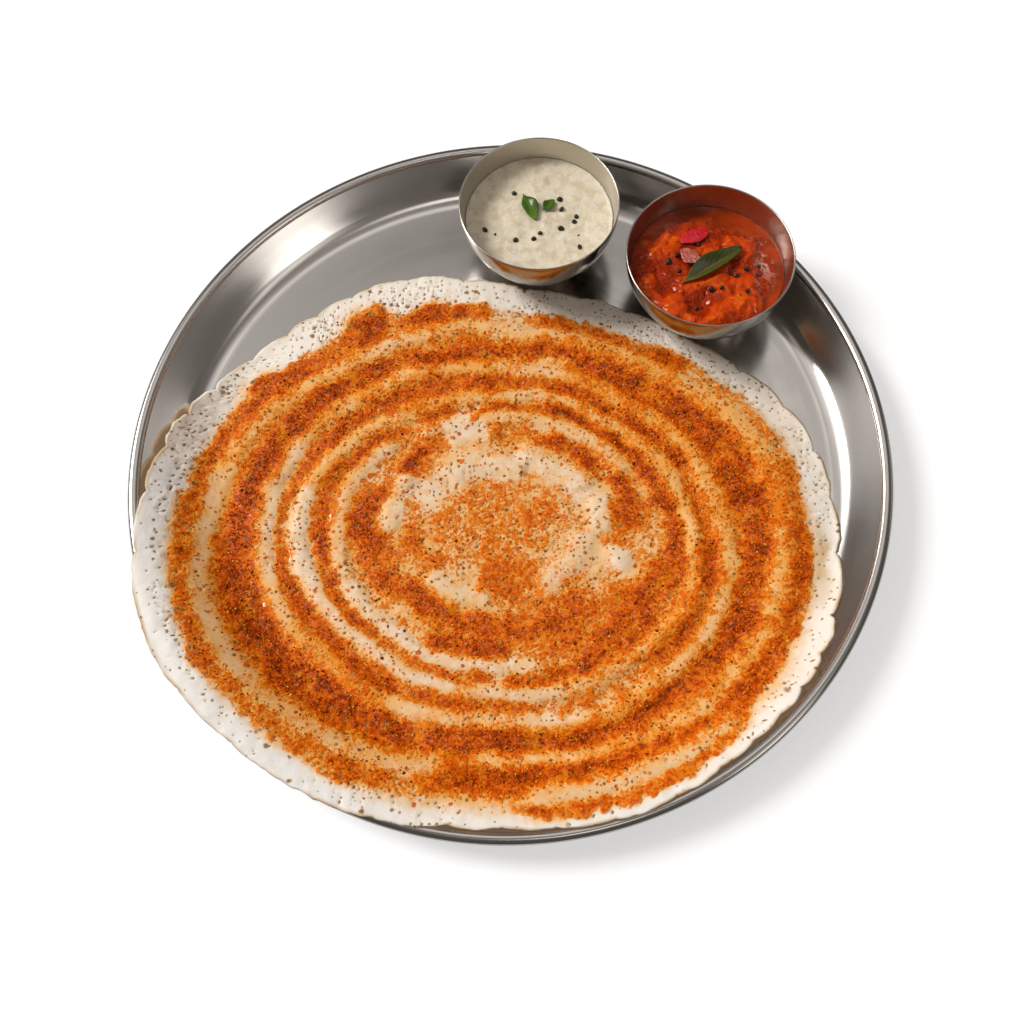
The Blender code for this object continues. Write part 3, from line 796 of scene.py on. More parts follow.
def dosa_outline(angle):
    """Smooth outline: the Fourier series through the control radii."""
    series = np.fft.rfft(DOSA_RADII) / len(DOSA_RADII)
    order = np.arange(len(series))
    weight = np.where((order == 0) | (order == len(series) - 1), 1.0, 2.0)
    return (weight * series * np.exp(1j * np.multiply.outer(angle, order))).real.sum(axis=-1)


def dosa_edge(angle):
    """Depth of the notches at the edge: each lobe between two notches is a rounded arch."""
    notches = np.array((NOTCH_ANGLES[-1] - 360.0, *NOTCH_ANGLES, NOTCH_ANGLES[0] + 360.0))
    degrees = np.degrees(angle) % 360.0
    lobe = np.searchsorted(notches, degrees, side="right") - 1
    across = (degrees - notches[lobe]) / (notches[lobe + 1] - notches[lobe])
    middle = 0.5 * (SMOOTH_SIDE[0] + SMOOTH_SIDE[1])
    calm = 1.0 - smooth_step(0.5, 1.2, np.abs(degrees - middle) / (SMOOTH_SIDE[1] - middle))
    varied = 0.55 + 0.8 * np.random.default_rng(3).random(len(notches))[lobe]
    low = between(255.0, 268.0, 320.0, 335.0, degrees)
    arch = np.abs(np.sin(math.pi * across)) ** 0.5
    return NOTCH_DEPTH * varied * (1.0 - 0.7 * calm) * (1.0 - 0.5 * low) * (1.0 - arch)


def dosa_underside(x, y):
    """Height of the dosa's lower face: on the plate, bridging from its floor to its bead at the
    lifted side."""
    radius = np.hypot(x, y)
    lifted = between(*LIFT_SIDE, np.arctan2(y, x) % math.tau)
    resting = plate_surface(radius)
    bridge = PLATE_SHEET + (LIFT_HEIGHT - PLATE_SHEET) * smooth_step(LIFT_START, LIFT_END, radius)
    bridge = bridge - DROOP * np.maximum(radius - LIFT_END, 0.0) ** 2
    return resting + lifted * np.maximum(bridge - resting, 0.0) + GAP


def dosa_place(angle, part):
    """Where an angle and a share of the radius lie: the edge's notches fade out inwards."""
    edge = dosa_outline(angle) - dosa_edge(angle) * smooth_step(0.93, 1.0, part)
    ragged = waves(40.0 * np.cos(angle), 40.0 * np.sin(angle), 1.0, 5)
    edge = edge + 0.35 * MM * ragged * smooth_step(0.9, 1.0, part)
    return DOSA_AT[0] + part * edge * np.cos(angle), DOSA_AT[1] + part * edge * np.sin(angle)


def dosa_fields(angle, part, x, y):
    """Where the crests, the podi, its ghee, its clumps, the thin beige batter, the bare white
    batter, the rim and its cleanest part are, each from 0 to 1."""
    turn = np.degrees(angle) + 4.0 * layered_waves(x, y, 14.0 * MM, 1)
    moved = part + 0.015 * layered_waves(x, y, 9.0 * MM, 2) + 0.009 * waves(x, y, 3.2 * MM, 3)
    smoother = part + 0.012 * layered_waves(x, y, 13.0 * MM, 2, 2)
    crest = strokes(CRESTS, turn, smoother, 1.1)
    bare = strokes(WHITES, turn, smoother, 1.1)
    patchy = 0.5 + 0.5 * layered_waves(x, y, 7.0 * MM, 8, 3)
    broad = 0.5 + 0.5 * layered_waves(x, y, 19.0 * MM, 9, 2)
    clump = 0.35 * lumps(x, y, 3.2 * MM, 27) + 0.65 * (0.5 + 0.8 * layered_waves(x, y, 6.5 * MM, 28, 4))
    start = np.interp(np.degrees(angle), *np.transpose(RIM_START))
    dusting = (0.09 + 0.36 * patchy) * (0.55 + 0.9 * broad) * (1.0 - smooth_step(-0.07, 0.01, moved - start))
    dusting = dusting * (0.68 + 0.32 * smooth_step(0.2, 0.45, part))
    podi = strokes(DRIFTS, turn, moved) * (1.0 - 0.68 * crest) * (0.84 + 0.46 * patchy)
    podi = np.clip(podi + (1.0 - podi) * dusting * (1.0 - 0.4 * crest), 0.0, 1.0) * (1.0 - 0.55 * bare)
    ghee = strokes(DRIFTS, turn, smoother, 1.8) * (0.55 + 0.65 * patchy) * (1.0 - 0.45 * bare)
    beige = strokes(BEIGES, turn, moved) * (0.5 + 0.9 * patchy)
    white = np.maximum(smooth_step(-0.03, 0.03, moved + 0.02 * patchy - start),
                       np.clip(bare * (0.20 + 0.95 * patchy), 0.0, 1.0))
    return {"crest": crest, "podi": podi, "ghee": np.clip(ghee, 0.0, 1.0), "clump": np.clip(clump, 0.0, 1.0),
            "beige": np.clip(beige, 0.0, 1.0), "white": white * (1.0 - smooth_step(0.3, 0.7, podi)),
            "share": part, "rim": smooth_step(-0.02, 0.05, part - start),
            "clean": strokes(CLEANS, turn, part)}


def scattered(random, cells, reach, chance):
    """Numbers of grid points that hold the highest random draw within reach cells, each kept with
    its own chance, away from the rim."""
    wide = cells + 1
    draw = random.random((wide, wide))
    highest = draw
    for across in range(-reach, reach + 1):
        for along in range(-reach, reach + 1):
            highest = np.maximum(highest, np.roll(draw, (across, along), (0, 1)))
    chosen = (draw >= highest) & (random.random((wide, wide)) < chance.reshape(wide, wide))
    inside = np.zeros_like(chosen)
    inside[3:-3, 3:-3] = True
    return np.flatnonzero(chosen & inside)


def sink_pores(points, cells, centres, radius, depth):
    """Sinks each centre by its depth and draws its eight neighbours onto a circle round it. A
    point between two pores goes to the mean of its two places."""
    wide = cells + 1
    total, hits = np.zeros((len(points), 2)), np.zeros(len(points))
    for step in (1, wide + 1, wide, wide - 1, -1, -wide - 1, -wide, -wide + 1):
        around = centres + step
        away = points[around, :2] - points[centres, :2]
        far = np.linalg.norm(away, axis=1)
        away = away * (np.clip(radius, 0.6 * far, 1.3 * far) / far)[:, None]
        np.add.at(total, around, points[centres, :2] + away)
        np.add.at(hits, around, 1.0)
    shared = (hits > 0.0) & ~np.isin(np.arange(len(points)), centres)
    points[shared, :2] = total[shared] / hits[shared, None]
    points[centres, 2] -= depth


def pore_chances(angle, part, x, y, fields):
    """Chance of a small pore and of a wide one at each point, and how pitted the batter is between
    them: most in flocks on the bare rim at the left, the top and the right."""
    degrees, rim = np.degrees(angle), fields["rim"]
    left = between(95.0, 135.0, 190.0, 215.0, degrees)
    upper = between(30.0, 60.0, 190.0, 215.0, degrees) * (1.0 - left) * (1.0 - smooth_step(0.93, 0.98, part))
    right = smooth_step(300.0, 320.0, degrees) + 1.0 - smooth_step(40.0, 60.0, degrees)
    bare = 1.0 - smooth_step(0.25, 0.75, fields["podi"])
    flocks = smooth_step(-0.35, 0.35, layered_waves(x, y, 16.0 * MM, 30, 3))
    clean = fields["clean"] * smooth_step(0.92, 0.96, part) * (1.0 - right)
    pitted = (0.62 + 0.55 * left + 0.35 * upper + 0.35 * right) * (0.45 + 0.55 * flocks) * (1.0 - 0.6 * clean)
    inner = (0.03 + 0.12 * bare + 0.22 * fields["white"]) * (0.35 + 0.65 * flocks) * (1.0 - rim)
    return (0.55 * pitted * rim * bare, np.clip(inner + 0.75 * pitted * rim, 0.0, 1.0),
            rim * (0.08 + 0.46 * pitted) + (1.0 - rim) * (0.08 + 0.42 * bare * flocks))


def dosa_surface(settings):
    """Points of the dosa's upper face on a folded grid, with its fields: thickness that tapers to
    the edge, crests, wide and narrow waves, the podi's clumps and sunken pores."""
    cells = settings.cells
    angle, part = folded_disc(cells)
    x, y = dosa_place(angle, part)
    fields = dosa_fields(angle, part, x, y)
    crest, podi, at_rim = fields["crest"], fields["podi"], fields["rim"]
    taper = smooth_step(0.86, 1.0, part)
    height = settings.thickness + (settings.edge - settings.thickness) * taper + settings.crest * crest
    height = height + 0.30 * MM * layered_waves(x, y, 22.0 * MM, 20) * (1.0 - 0.6 * taper)
    narrow = layered_waves(x, y, 4.0 * MM, 24, 3) * (1.0 - 0.5 * crest) * (1.0 + 0.6 * taper)
    height = height + 0.24 * MM * narrow + settings.podi_coat * podi * fields["clump"]
    points = np.stack([x, y, dosa_underside(x, y) + height], axis=1)
    small, wide, pitted = pore_chances(angle, part, x, y, fields)
    pore = np.zeros(len(points))
    random = np.random.default_rng(5)
    for reach, chance, (least, most), (shallow, deep) in ((1, small, (0.50, 1.15), (0.5, 1.0)),
                                                          (2, wide, (0.70, 1.85), (0.7, 1.3))):
        centres = scattered(random, cells, reach, chance)
        centres = centres[pore[centres] == 0.0]
        size = random.random(len(centres)) ** (2.0 - at_rim[centres])
        depth = (shallow + (deep - shallow) * random.random(len(centres))) * MM
        depth = depth * (1.0 - 0.35 * taper[centres]) * (1.0 - 0.4 * podi[centres])
        sink_pores(points, cells, centres, (least + (most - least) * size) * MM, depth)
        pore[centres] = 0.30 + 0.70 * random.random(len(centres))
    return angle, points, {**fields, "pore": pore, "pitted": pitted}


def crumbs(place, size):
    """Crumbs that meet with soft sides: a tint and a second draw, both from 0 to 1 and the same
    all over a crumb, and its rounded height."""
    distance, (tint, draw, _) = cells_of(place, size, Smoothness=0.45)
    return rise(tint, 0.1, 0.9), draw, 1.0 - distance


def batter_tone(settings, material, place, shades, at_rim):
    """White batter at the rim and in patches, tan where it is soaked, dull beige where it is thin,
    and a light flush of oil in mottles."""
    cream = mixed(painted(material, "clean"), settings.cream, settings.clean)
    tone = mixed(painted(material, "white"), settings.tan, mixed(at_rim, settings.pale, cream))
    dull = rise(shades, 0.40, 0.65, 0.0, 0.28) * rise(1.0 - at_rim, 0.0, 1.0, 0.30, 1.0)
    tone = mixed(dull, tone, settings.beige)
    tone = mixed(painted(material, "beige") * 0.85, tone, settings.beige)
    flush = rise(noise(place, 0.0026, 3.0, 0.65), 0.44, 0.66, 0.0, 0.50) * rise(at_rim, 0.0, 0.8, 1.0, 0.0)
    return mixed(flush, tone, settings.oil_light)


def speckled(settings, place, skin, podi, at_rim, dust):
    """Round specks of spice of two sizes, fewer where the podi is thin."""
    sprinkled = rise(podi, 0.0, 0.40, 0.20, 0.62) * rise(at_rim, 0.0, 0.6, 1.0, 0.0)
    swung_place = output(place.tree, "ShaderNodeMapping", 0, {"Vector": place, "Rotation": (0.0, 0.0, 1.0)})
    specks = maths("MAXIMUM", *effect(pinholes, place, size=0.0025, density=sprinkled),
                   *effect(pinholes, swung_place, size=0.0040, density=sprinkled))
    tone = mixed(rise(dust, 0.35, 0.85), settings.podi_gold, settings.podi_red)
    return mixed(rise(specks, 0.10, 0.55, 0.0, 0.92), skin, tone)


def dosa_material(settings):
    """Batter under spice. The spice goes from a golden oil stain over orange to dark red as it
    gets thicker, in clumps and crumbs, with wet glints. Pores are dull, with painted shade that
    darkens to their middle, and the underside has a painted glow."""
    material, place = new_material("crisp batter with podi", Specular_IOR_Level=0.14,
                                   Specular_Tint=(1.0, 0.74, 0.45, 1.0), Coat_Roughness=0.13,
                                   Emission_Strength=0.3)
    podi, at_rim, pitted = (painted(material, name) for name in ("podi", "rim", "pitted"))
    coarse, _, coarse_top = crumbs(place, 0.0022)
    fine, draw, fine_top = crumbs(place, 0.0010)
    dust = rise(noise(place, 0.0010, 3.0, 0.6), 0.32, 0.68)
    shades = noise(place, 0.007, 3.0, 0.6)
    uneven = painted(material, "clump") * 0.54 + coarse * 0.22 + fine * 0.32 + dust * 0.14
    amount = podi ** 0.8 * 0.84 + (uneven - 0.61) * rise(podi, 0.02, 0.34)
    soaked = (podi + painted(material, "ghee")) * 0.56 + (shades - 0.5) * 0.4
    skin = mixed(rise(soaked, 0.08, 0.52, 0.0, 0.88), batter_tone(settings, material, place, shades, at_rim),
                 settings.oil_light)
    skin = mixed(rise(soaked, 0.36, 0.80, 0.0, 0.90), skin, settings.oil)
    for low, high, tone in ((0.12, 0.42, settings.oil), (0.30, 0.58, settings.podi_gold),
                            (0.52, 0.76, settings.podi_orange), (0.76, 1.00, settings.podi_red),
                            (1.00, 1.24, settings.podi_dark)):
        skin = mixed(rise(amount, low, high), skin, tone)
    pools = rise(noise(place, 0.008), 0.56, 0.70) * rise(amount, 0.3, 0.7, 0.0, 0.55)
    skin = speckled(settings, place, mixed(pools, skin, settings.pool), podi, at_rim, dust)
    toasted = rise(painted(material, "share"), 0.986, 0.999) * rise(noise(place, 0.02), 0.35, 0.65)
    skin = mixed(toasted, skin, settings.toasted)
    holes = maths("MAXIMUM", *effect(pinholes, place, size=0.0028, density=pitted),
                  *effect(pinholes, place, size=0.0046, density=pitted * (at_rim * 0.7)))
    holes = maths("MAXIMUM", rise(painted(material, "pore"), 0.05, 0.75), holes)
    clean = at_rim * rise(podi, 0.1, 0.4, 1.0, 0.0)
    # Pore lip and middle colours are painted shade, darker towards each pore's middle.
    skin = mixed(rise(holes, 0.0, 0.5, 0.0, 0.85), skin, mixed(clean, settings.deep_lip, settings.pore_lip))
    skin = mixed(rise(holes, 0.35, 1.0), skin, mixed(clean, settings.deep_pore, settings.pore))
    height = (coarse_top * 0.8 + fine_top * 0.4) * rise(amount, 0.1, 0.6, 0.08, 1.0)
    height = height - holes * 0.3 + dust * at_rim * 0.10
    wet = rise(draw, 0.70, 0.84) * rise(amount, 0.05, 0.35, 0.05, 0.9) * rise(holes, 0.0, 0.3, 1.0, 0.0)
    wet = wet * rise(painted(material, "crest"), 0.02, 0.35, 1.0, 0.12)
    # Emission paints a glow on the underside only: painted light that lifts the shade in the gap between the
    # dosa and the bead.
    return join(material, Base_Color=skin, Coat_Weight=wet, Normal=bumped(height, 0.50 * MM),
                Roughness=rise(holes, 0.0, 0.6, rise(dust, 0.0, 1.0, 0.52, 0.36), 1.0),
                Emission_Color=mixed(painted(material, "below"), (0.0, 0.0, 0.0), settings.glow))


class DOSA_OT_make_dosa(bpy.types.Operator):
    """Spread the dosa: spiral crests, podi drifts, pores and a scalloped edge over the plate"""
    bl_idname = "podi_dosa.make_dosa"
    bl_label = "Make Dosa"

    def execute(self, context):
        settings = context.scene.podi_dosa.dosa
        angle, top, fields = dosa_surface(settings)
        rim_angle = angle[disc_rim(settings.cells)]
        rings = []
        for part in UNDER_RINGS:
            x, y = dosa_place(rim_angle, np.full_like(rim_angle, part))
            rings.append(np.stack([x, y, dosa_underside(x, y)], axis=1))
        points, faces = closed_disc(settings.cells, top, rings, (*DOSA_AT, dosa_underside(*DOSA_AT)))
        extra = len(points) - len(top)
        fields["share"] = np.pad(fields["share"], (0, extra), constant_values=1.0)
        fields["below"] = np.repeat((0.0, 1.0), (len(top), extra))
        new_piece("podi_dosa", points, faces, dosa_material(settings), fields, ("dosa",))
        return {"FINISHED"}


# ---------------------------------------------------------------- loose podi

OCTAHEDRON = np.array(((1, 0, 0), (-1, 0, 0), (0, 1, 0), (0, -1, 0), (0, 0, 1), (0, 0, -1)), float)
OCTAHEDRON_FACES = np.array(((0, 2, 4), (2, 1, 4), (1, 3, 4), (3, 0, 4),
                             (2, 0, 5), (1, 2, 5), (3, 1, 5), (0, 3, 5)))


def random_turns(random, count):
    """Rotation matrices from random unit quaternions."""
    w, x, y, z = (q := random.normal(size=(4, count))) / np.linalg.norm(q, axis=0)
    return np.stack([
        np.stack([1 - 2 * (y * y + z * z), 2 * (x * y - z * w), 2 * (x * z + y * w)], axis=-1),
        np.stack([2 * (x * y + z * w), 1 - 2 * (x * x + z * z), 2 * (y * z - x * w)], axis=-1),
        np.stack([2 * (x * z - y * w), 2 * (y * z + x * w), 1 - 2 * (x * x + y * y)], axis=-1),
    ], axis=1)


def grain_material(name, base):
    """Dry crushed spice: each grain has its own tint."""
    material, place = new_material(name, Specular_IOR_Level=0.15, Specular_Tint=(1.0, 0.7, 0.4, 1.0))
    tint = painted(material, "tint")
    speckle, _, height = effect(fine_grain, place, size=0.0004)
    tone = mixed(speckle * 0.3, mixed(tint, shade(base, 0.62), shade(base, 1.35)), shade(base, 0.5))
    return join(material, Base_Color=tone, Roughness=rise(tint, 0.0, 1.0, 0.4, 0.6),
                Normal=bumped(height, 0.05 * MM))


def scatter(name, random, surface, cells, weight, count, sizes, material):
    """Grains on random cells of the dosa's grid, a cell's chance going with its area times its
    weight. A grain sits at a random bilinear place of its cell, half sunk."""
    wide = cells + 1
    grid = surface.reshape(wide, wide, 3)
    density = weight.reshape(wide, wide)[:-1, :-1]
    area = np.linalg.norm(np.cross(grid[1:, :-1] - grid[:-1, :-1], grid[:-1, 1:] - grid[:-1, :-1]), axis=-1)
    chance = np.cumsum((density * area).ravel())
    cell = np.searchsorted(chance, random.random(count) * chance[-1])
    row, column = np.divmod(np.minimum(cell, cells * cells - 1), cells)
    u, v = random.random((2, count, 1))
    place = ((grid[row, column] * (1 - u) + grid[row + 1, column] * u) * (1 - v)
             + (grid[row, column + 1] * (1 - u) + grid[row + 1, column + 1] * u) * v)
    size = 0.5 * (sizes[0] + (sizes[1] - sizes[0]) * random.random(count) ** 3.0)
    axes = size[:, None] * (0.65 + 0.7 * random.random((count, 3))) * (1.0, 1.0, 0.6)
    shape = OCTAHEDRON[None] * axes[:, None, :]
    shape = np.einsum("nij,nkj->nki", random_turns(random, count), shape)
    place[:, 2] += 0.25 * size
    points, faces = copied(shape, OCTAHEDRON_FACES, place)
    tint = np.repeat(random.random(count), len(OCTAHEDRON))
    new_piece(name, points, faces, material, {"tint": tint})


class DOSA_OT_scatter_podi(bpy.types.Operator):
    """Scatter loose grains of podi over the dosa's drifts"""
    bl_idname = "podi_dosa.scatter_podi"
    bl_label = "Scatter Podi"

    def execute(self, context):
        dosa, podi = context.scene.podi_dosa.dosa, context.scene.podi_dosa.podi
        _, surface, fields = dosa_surface(dosa)
        drift, inner = smooth_step(0.35, 0.95, fields["podi"]), 1.0 - smooth_step(0.86, 0.94, fields["share"])
        clumped = drift * smooth_step(0.25, 0.75, fields["clump"])
        kinds = (("podi_dark_grains", podi.dark, podi.grains // 4, drift ** 2 + 0.28 * inner),
                 ("podi_orange_grains", podi.orange, podi.grains * 2 // 3, clumped + 0.03 * inner),
                 ("podi_golden_grains", podi.gold, podi.grains // 4, clumped + 0.05 * inner),
                 ("podi_husks", podi.husk, podi.husks, drift + 0.02 * inner))
        for seed, (name, tone, count, weight) in enumerate(kinds):
            scatter(name, np.random.default_rng(60 + seed), surface, dosa.cells, weight, count,
                    (podi.smallest, podi.largest), grain_material(name.replace("_", " "), tone))
        return {"FINISHED"}


# ---------------------------------------------------------------- chutneys

def laid(middle, turn, u, v):
    """Place of a point that lies u ahead of the middle and v to its left, for a turn in radians."""
    return (middle[0] + u * math.cos(turn) - v * math.sin(turn),
            middle[1] + u * math.sin(turn) + v * math.cos(turn))


def leaf_frame(leaf):
    """Middle, turn, length and width of a leaf that is given by its two tips and its width."""
    (ax, ay), (bx, by), width = leaf
    middle = (0.5 * (ax + bx), 0.5 * (ay + by))
    return middle, math.atan2(by - ay, bx - ax), math.hypot(bx - ax, by - ay), width


def brim(rim_radius, fill):
    """Angle, radius and height over the foot of a chutney's brim, where it wets the bowl's wall."""
    foot_angle = math.asin(BOWL_FOOT / rim_radius)
    angle = math.acos((1.0 - fill / BOWL_HEIGHT) * math.cos(foot_angle))
    return angle, *ellipse_point(rim_radius, angle, BOWL_SHEET)


def coconut_height(x, y, reach):
    """Thick cream: soft mounds, a fine grain, and a small climb at the bowl's wall."""
    wet = smooth_step(reach - 2.5 * MM, reach, np.hypot(x, y))
    soft = 0.60 * MM * layered_waves(x, y, 9.0 * MM, 40, 2) + 0.16 * MM * layered_waves(x, y, 3.6 * MM, 42, 2)
    grain = 0.13 * MM * lumps(x, y, 1.9 * MM, 44) + 0.08 * MM * layered_waves(x, y, 1.2 * MM, 45, 2)
    return (soft - 0.25 * MM) * (1.0 - 0.7 * wet) + grain * (1.0 - 0.6 * wet) + 0.5 * MM * wet ** 2


def tomato_heap(x, y):
    """Where the paste is heaped, from 0 in the sauce to 1, with a ragged side."""
    ragged = 0.16 * layered_waves(x, y, 7.0 * MM, 50, 3)
    reach = np.hypot((x + 4.0 * MM) / (33.0 * MM), (y + 4.5 * MM) / (31.0 * MM)) + ragged
    return 1.0 - smooth_step(0.72, 1.06, reach)


def tomato_height(x, y, level, reach, heap_height):
    """Paste in rounded lumps of four sizes, over a smooth oily sauce, pressed flat under the leaf."""
    heap = tomato_heap(x, y)
    u = x + 1.6 * MM * waves(x, y, 5.0 * MM, 61)
    v = y + 1.6 * MM * waves(x, y, 5.0 * MM, 62)
    pile = 2.2 * MM * lumps(u, v, 8.0 * MM, 54) + 0.8 * MM * lumps(u, v, 3.8 * MM, 55)
    pile = pile + 0.30 * MM * lumps(x, y, 2.4 * MM, 56) + 0.12 * MM * lumps(x, y, 1.4 * MM, 59)
    pile = pile + 1.2 * MM * waves(x, y, 11.0 * MM, 57)
    dent = np.exp(-((x + 0.5 * MM) / (9.0 * MM)) ** 2 - ((y + 16.0 * MM) / (5.0 * MM)) ** 2)
    calm = 0.22 * MM * layered_waves(x, y, 6.0 * MM, 58, 3)
    wet = smooth_step(reach - 2.0 * MM, reach, np.hypot(x, y))
    height = heap * (heap_height - 2.4 * MM + pile - 2.2 * MM * dent) + (1.0 - heap) * calm
    height = height * (1.0 - wet) + 0.45 * MM * wet ** 2
    middle, turn, span, width = leaf_frame(LARGE_LEAF)
    u, v = laid((0.0, 0.0), -turn, x + TOMATO_BOWL_AT[0] - middle[0], y + TOMATO_BOWL_AT[1] - middle[1])
    away = np.hypot(u / (0.5 * span), v / (0.5 * width))
    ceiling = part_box("curry_leaf_large")[0].z - BOWL_BOTTOM - level - 0.1 * MM
    return height - np.maximum(height - ceiling, 0.0) * (1.0 - smooth_step(0.8, 1.3, away))


def filling(whole, chutney):
    """Where a chutney's bowl stands, the bowl's radius, how high it is filled, and the function that
    gives the chutney's height over its brim at a place in the bowl."""
    radius, fill = getattr(whole.steel, chutney + "_bowl_radius"), getattr(whole.chutney, chutney + "_fill")
    _, reach, level = brim(radius, fill)
    if chutney == "coconut":
        return COCONUT_BOWL_AT, radius, fill, lambda x, y: coconut_height(x, y, reach)
    return TOMATO_BOWL_AT, radius, fill, lambda x, y: tomato_height(x, y, level, reach, whole.chutney.heap)


def chutney_mesh(at, rim_radius, fill, relief, cells):
    """Folded grid on top, then rings down the inside of the bowl with a small gap to it."""
    angle, part = folded_disc(cells)
    top_angle, reach, level = brim(rim_radius, fill)
    x, y = part * reach * np.cos(angle), part * reach * np.sin(angle)
    top = np.stack([x, y, level + relief(x, y)], axis=1)
    rim_angle = angle[disc_rim(cells)]
    rings = []
    for down in np.linspace(top_angle, math.asin(BOWL_FOOT / rim_radius), 8):
        radius, height = ellipse_point(rim_radius, down, BOWL_SHEET + FILL_GAP)
        rings.append(np.stack([radius * np.cos(rim_angle), radius * np.sin(rim_angle),
                               np.full_like(rim_angle, height)], axis=1))
    points, faces = closed_disc(cells, top, rings, (0.0, 0.0, rings[-1][0, 2]))
    return points + (*at, BOWL_BOTTOM), faces, x, y


def coconut_material(settings):
    """Ground coconut: cream with soft beige mottling and a fine wet grain."""
    material, place = new_material("ground coconut", Specular_IOR_Level=0.3, Subsurface_Weight=0.25,
                                   Subsurface_Radius=(0.0020, 0.0013, 0.0008), Subsurface_Scale=1.0)
    speckle, patches, height = effect(fine_grain, place, size=0.0007)
    mottle = rise(noise(place, 0.005, 4.0, 0.6), 0.42, 0.66) * 0.62
    tone = mixed(mottle, settings.coconut, settings.coconut_shade)
    tone = mixed(speckle * 0.30, tone, settings.coconut_shade)
    return join(material, Base_Color=tone, Roughness=rise(patches, 0.0, 1.0, 0.42, 0.24),
                Normal=bumped(height, 0.25 * MM))


def tomato_material(settings):
    """Tomato paste: orange-red lumps, painted shade in the hollows between them, and a smooth oily sauce
    round them.
    """
    material, place = new_material("cooked tomato", Specular_IOR_Level=0.30,
                                   Specular_Tint=(1.0, 0.75, 0.6, 1.0), Subsurface_Weight=0.15,
                                   Subsurface_Scale=1.0, Subsurface_Radius=(0.0018, 0.0003, 0.0001))
    speckle, _, height = effect(fine_grain, place, size=0.0013)
    heap, lift = painted(material, "heap"), painted(material, "lift")
    # Painted shade: the paste darkens from its lump tops into the hollows, by height.
    paste = mixed(rise(lift, 0.32, 0.80), settings.tomato_deep, settings.tomato)
    golden = rise(noise(place, 0.005, 3.0, 0.6), 0.50, 0.68) * rise(lift, 0.4, 0.8)
    paste = mixed(golden * 0.5, paste, settings.tomato_gold)
    paste = mixed(speckle * 0.25, paste, shade(settings.tomato, 1.2))
    oil = mixed(rise(noise(place, 0.012, 3.0), 0.35, 0.65), settings.sauce, shade(settings.sauce, 0.55))
    oily = rise(noise(place, 0.006), 0.35, 0.70, 0.25, 0.95)
    drops = effect(pinholes, place, size=0.0036, density=oily)[0]
    height = height * rise(heap, 0.1, 0.7, 0.15, 1.0) + drops * rise(heap, 0.1, 0.6, 0.4, 1.9)
    return join(material, Base_Color=mixed(rise(heap, 0.15, 0.6), oil, paste),
                Roughness=rise(heap, 0.1, 0.8, 0.06, 0.07), Normal=bumped(height, 0.34 * MM))


class DOSA_OT_make_coconut_chutney(bpy.types.Operator):
    """Fill the far bowl with ground coconut"""
    bl_idname = "podi_dosa.make_coconut_chutney"
    bl_label = "Make Coconut Chutney"

    def execute(self, context):
        whole = context.scene.podi_dosa
        points, faces, _, _ = chutney_mesh(*filling(whole, "coconut"), whole.chutney.cells)
        new_piece("coconut_cream", points, faces, coconut_material(whole.chutney),
                  replaces=("coconut_chutney",))
        return {"FINISHED"}


class DOSA_OT_make_tomato_chutney(bpy.types.Operator):
    """Fill the near bowl with lumpy tomato paste in its sauce"""
    bl_idname = "podi_dosa.make_tomato_chutney"
    bl_label = "Make Tomato Chutney"

    def execute(self, context):
        whole = context.scene.podi_dosa
        bowl = filling(whole, "tomato")
        points, faces, x, y = chutney_mesh(*bowl, whole.chutney.cells)
        heap = tomato_heap(x, y)
        over = bowl[-1](x, y) - heap * (whole.chutney.heap - 0.1 * MM)
        lift = np.clip(0.5 + over / (2.2 * MM), 0.0, 1.0)
        new_piece("tomato_paste", points, faces, tomato_material(whole.chutney),
                  {"heap": heap, "lift": lift}, ("tomato_chutney",))
        return {"FINISHED"}


# ---------------------------------------------------------------- garnish

def leaf_mesh(leaf, base, fold, curl):
    """Closed leaf: half width is a cosine along the midrib whose power falls, so that the first tip
    is drawn out and the second blunt. The left side is broader, the two sides fold up from
    the midrib, and the tips curl. The top and the underside join along a sharp edge."""
    middle, turn, span, width = leaf_frame(leaf)
    rows, columns = 29, 13
    along = np.linspace(-1.0, 1.0, rows + 2)[1:-1, None]
    across = np.concatenate([np.linspace(-1.0, 1.0, columns), np.linspace(1.0, -1.0, columns)[1:-1]])[None]
    under = np.arange(across.size)[None] >= columns
    half = 0.5 * width * np.cos(0.5 * math.pi * along) ** (1.05 - 0.30 * along)
    v = half * across * (1.0 + 0.12 * np.sign(across))
    vein = 0.10 * MM * np.cos(9.0 * math.pi * (along - 0.5 * np.abs(across))) * (np.abs(across) < 0.95)
    rib = 0.22 * MM * np.exp(-(v / (0.35 * MM)) ** 2)
    ripple = 0.55 * MM * min(1.0, width / (9.0 * MM))
    z = base + 0.5 * LEAF_THICKNESS + fold * np.abs(v) ** 0.9 * 1.1 + curl * along ** 2
    z = z + ripple * np.sin(5.0 * along + 2.0 + 0.8 * across) * np.abs(across)
    body = LEAF_THICKNESS * (1.0 - across ** 2) ** 0.5
    z = z + np.where(under, -0.5 * body, 0.5 * body + vein + rib)
    x, y = laid(middle, turn, 0.5 * span * along + 0.0 * v, v)
    ends = [(*laid(middle, turn, side * 0.5 * span, 0.0), base + 0.5 * LEAF_THICKNESS + curl)
            for side in (-1.0, 1.0)]
    points, faces = closed_rows(np.stack([x, y, z], axis=-1), *ends)
    fields = {key: np.concatenate([[-end], np.broadcast_to(values, z.shape).ravel(), [end]])
              for key, values, end in (("across", across, 0.0), ("along", along, 1.0))}
    return points, faces, fields


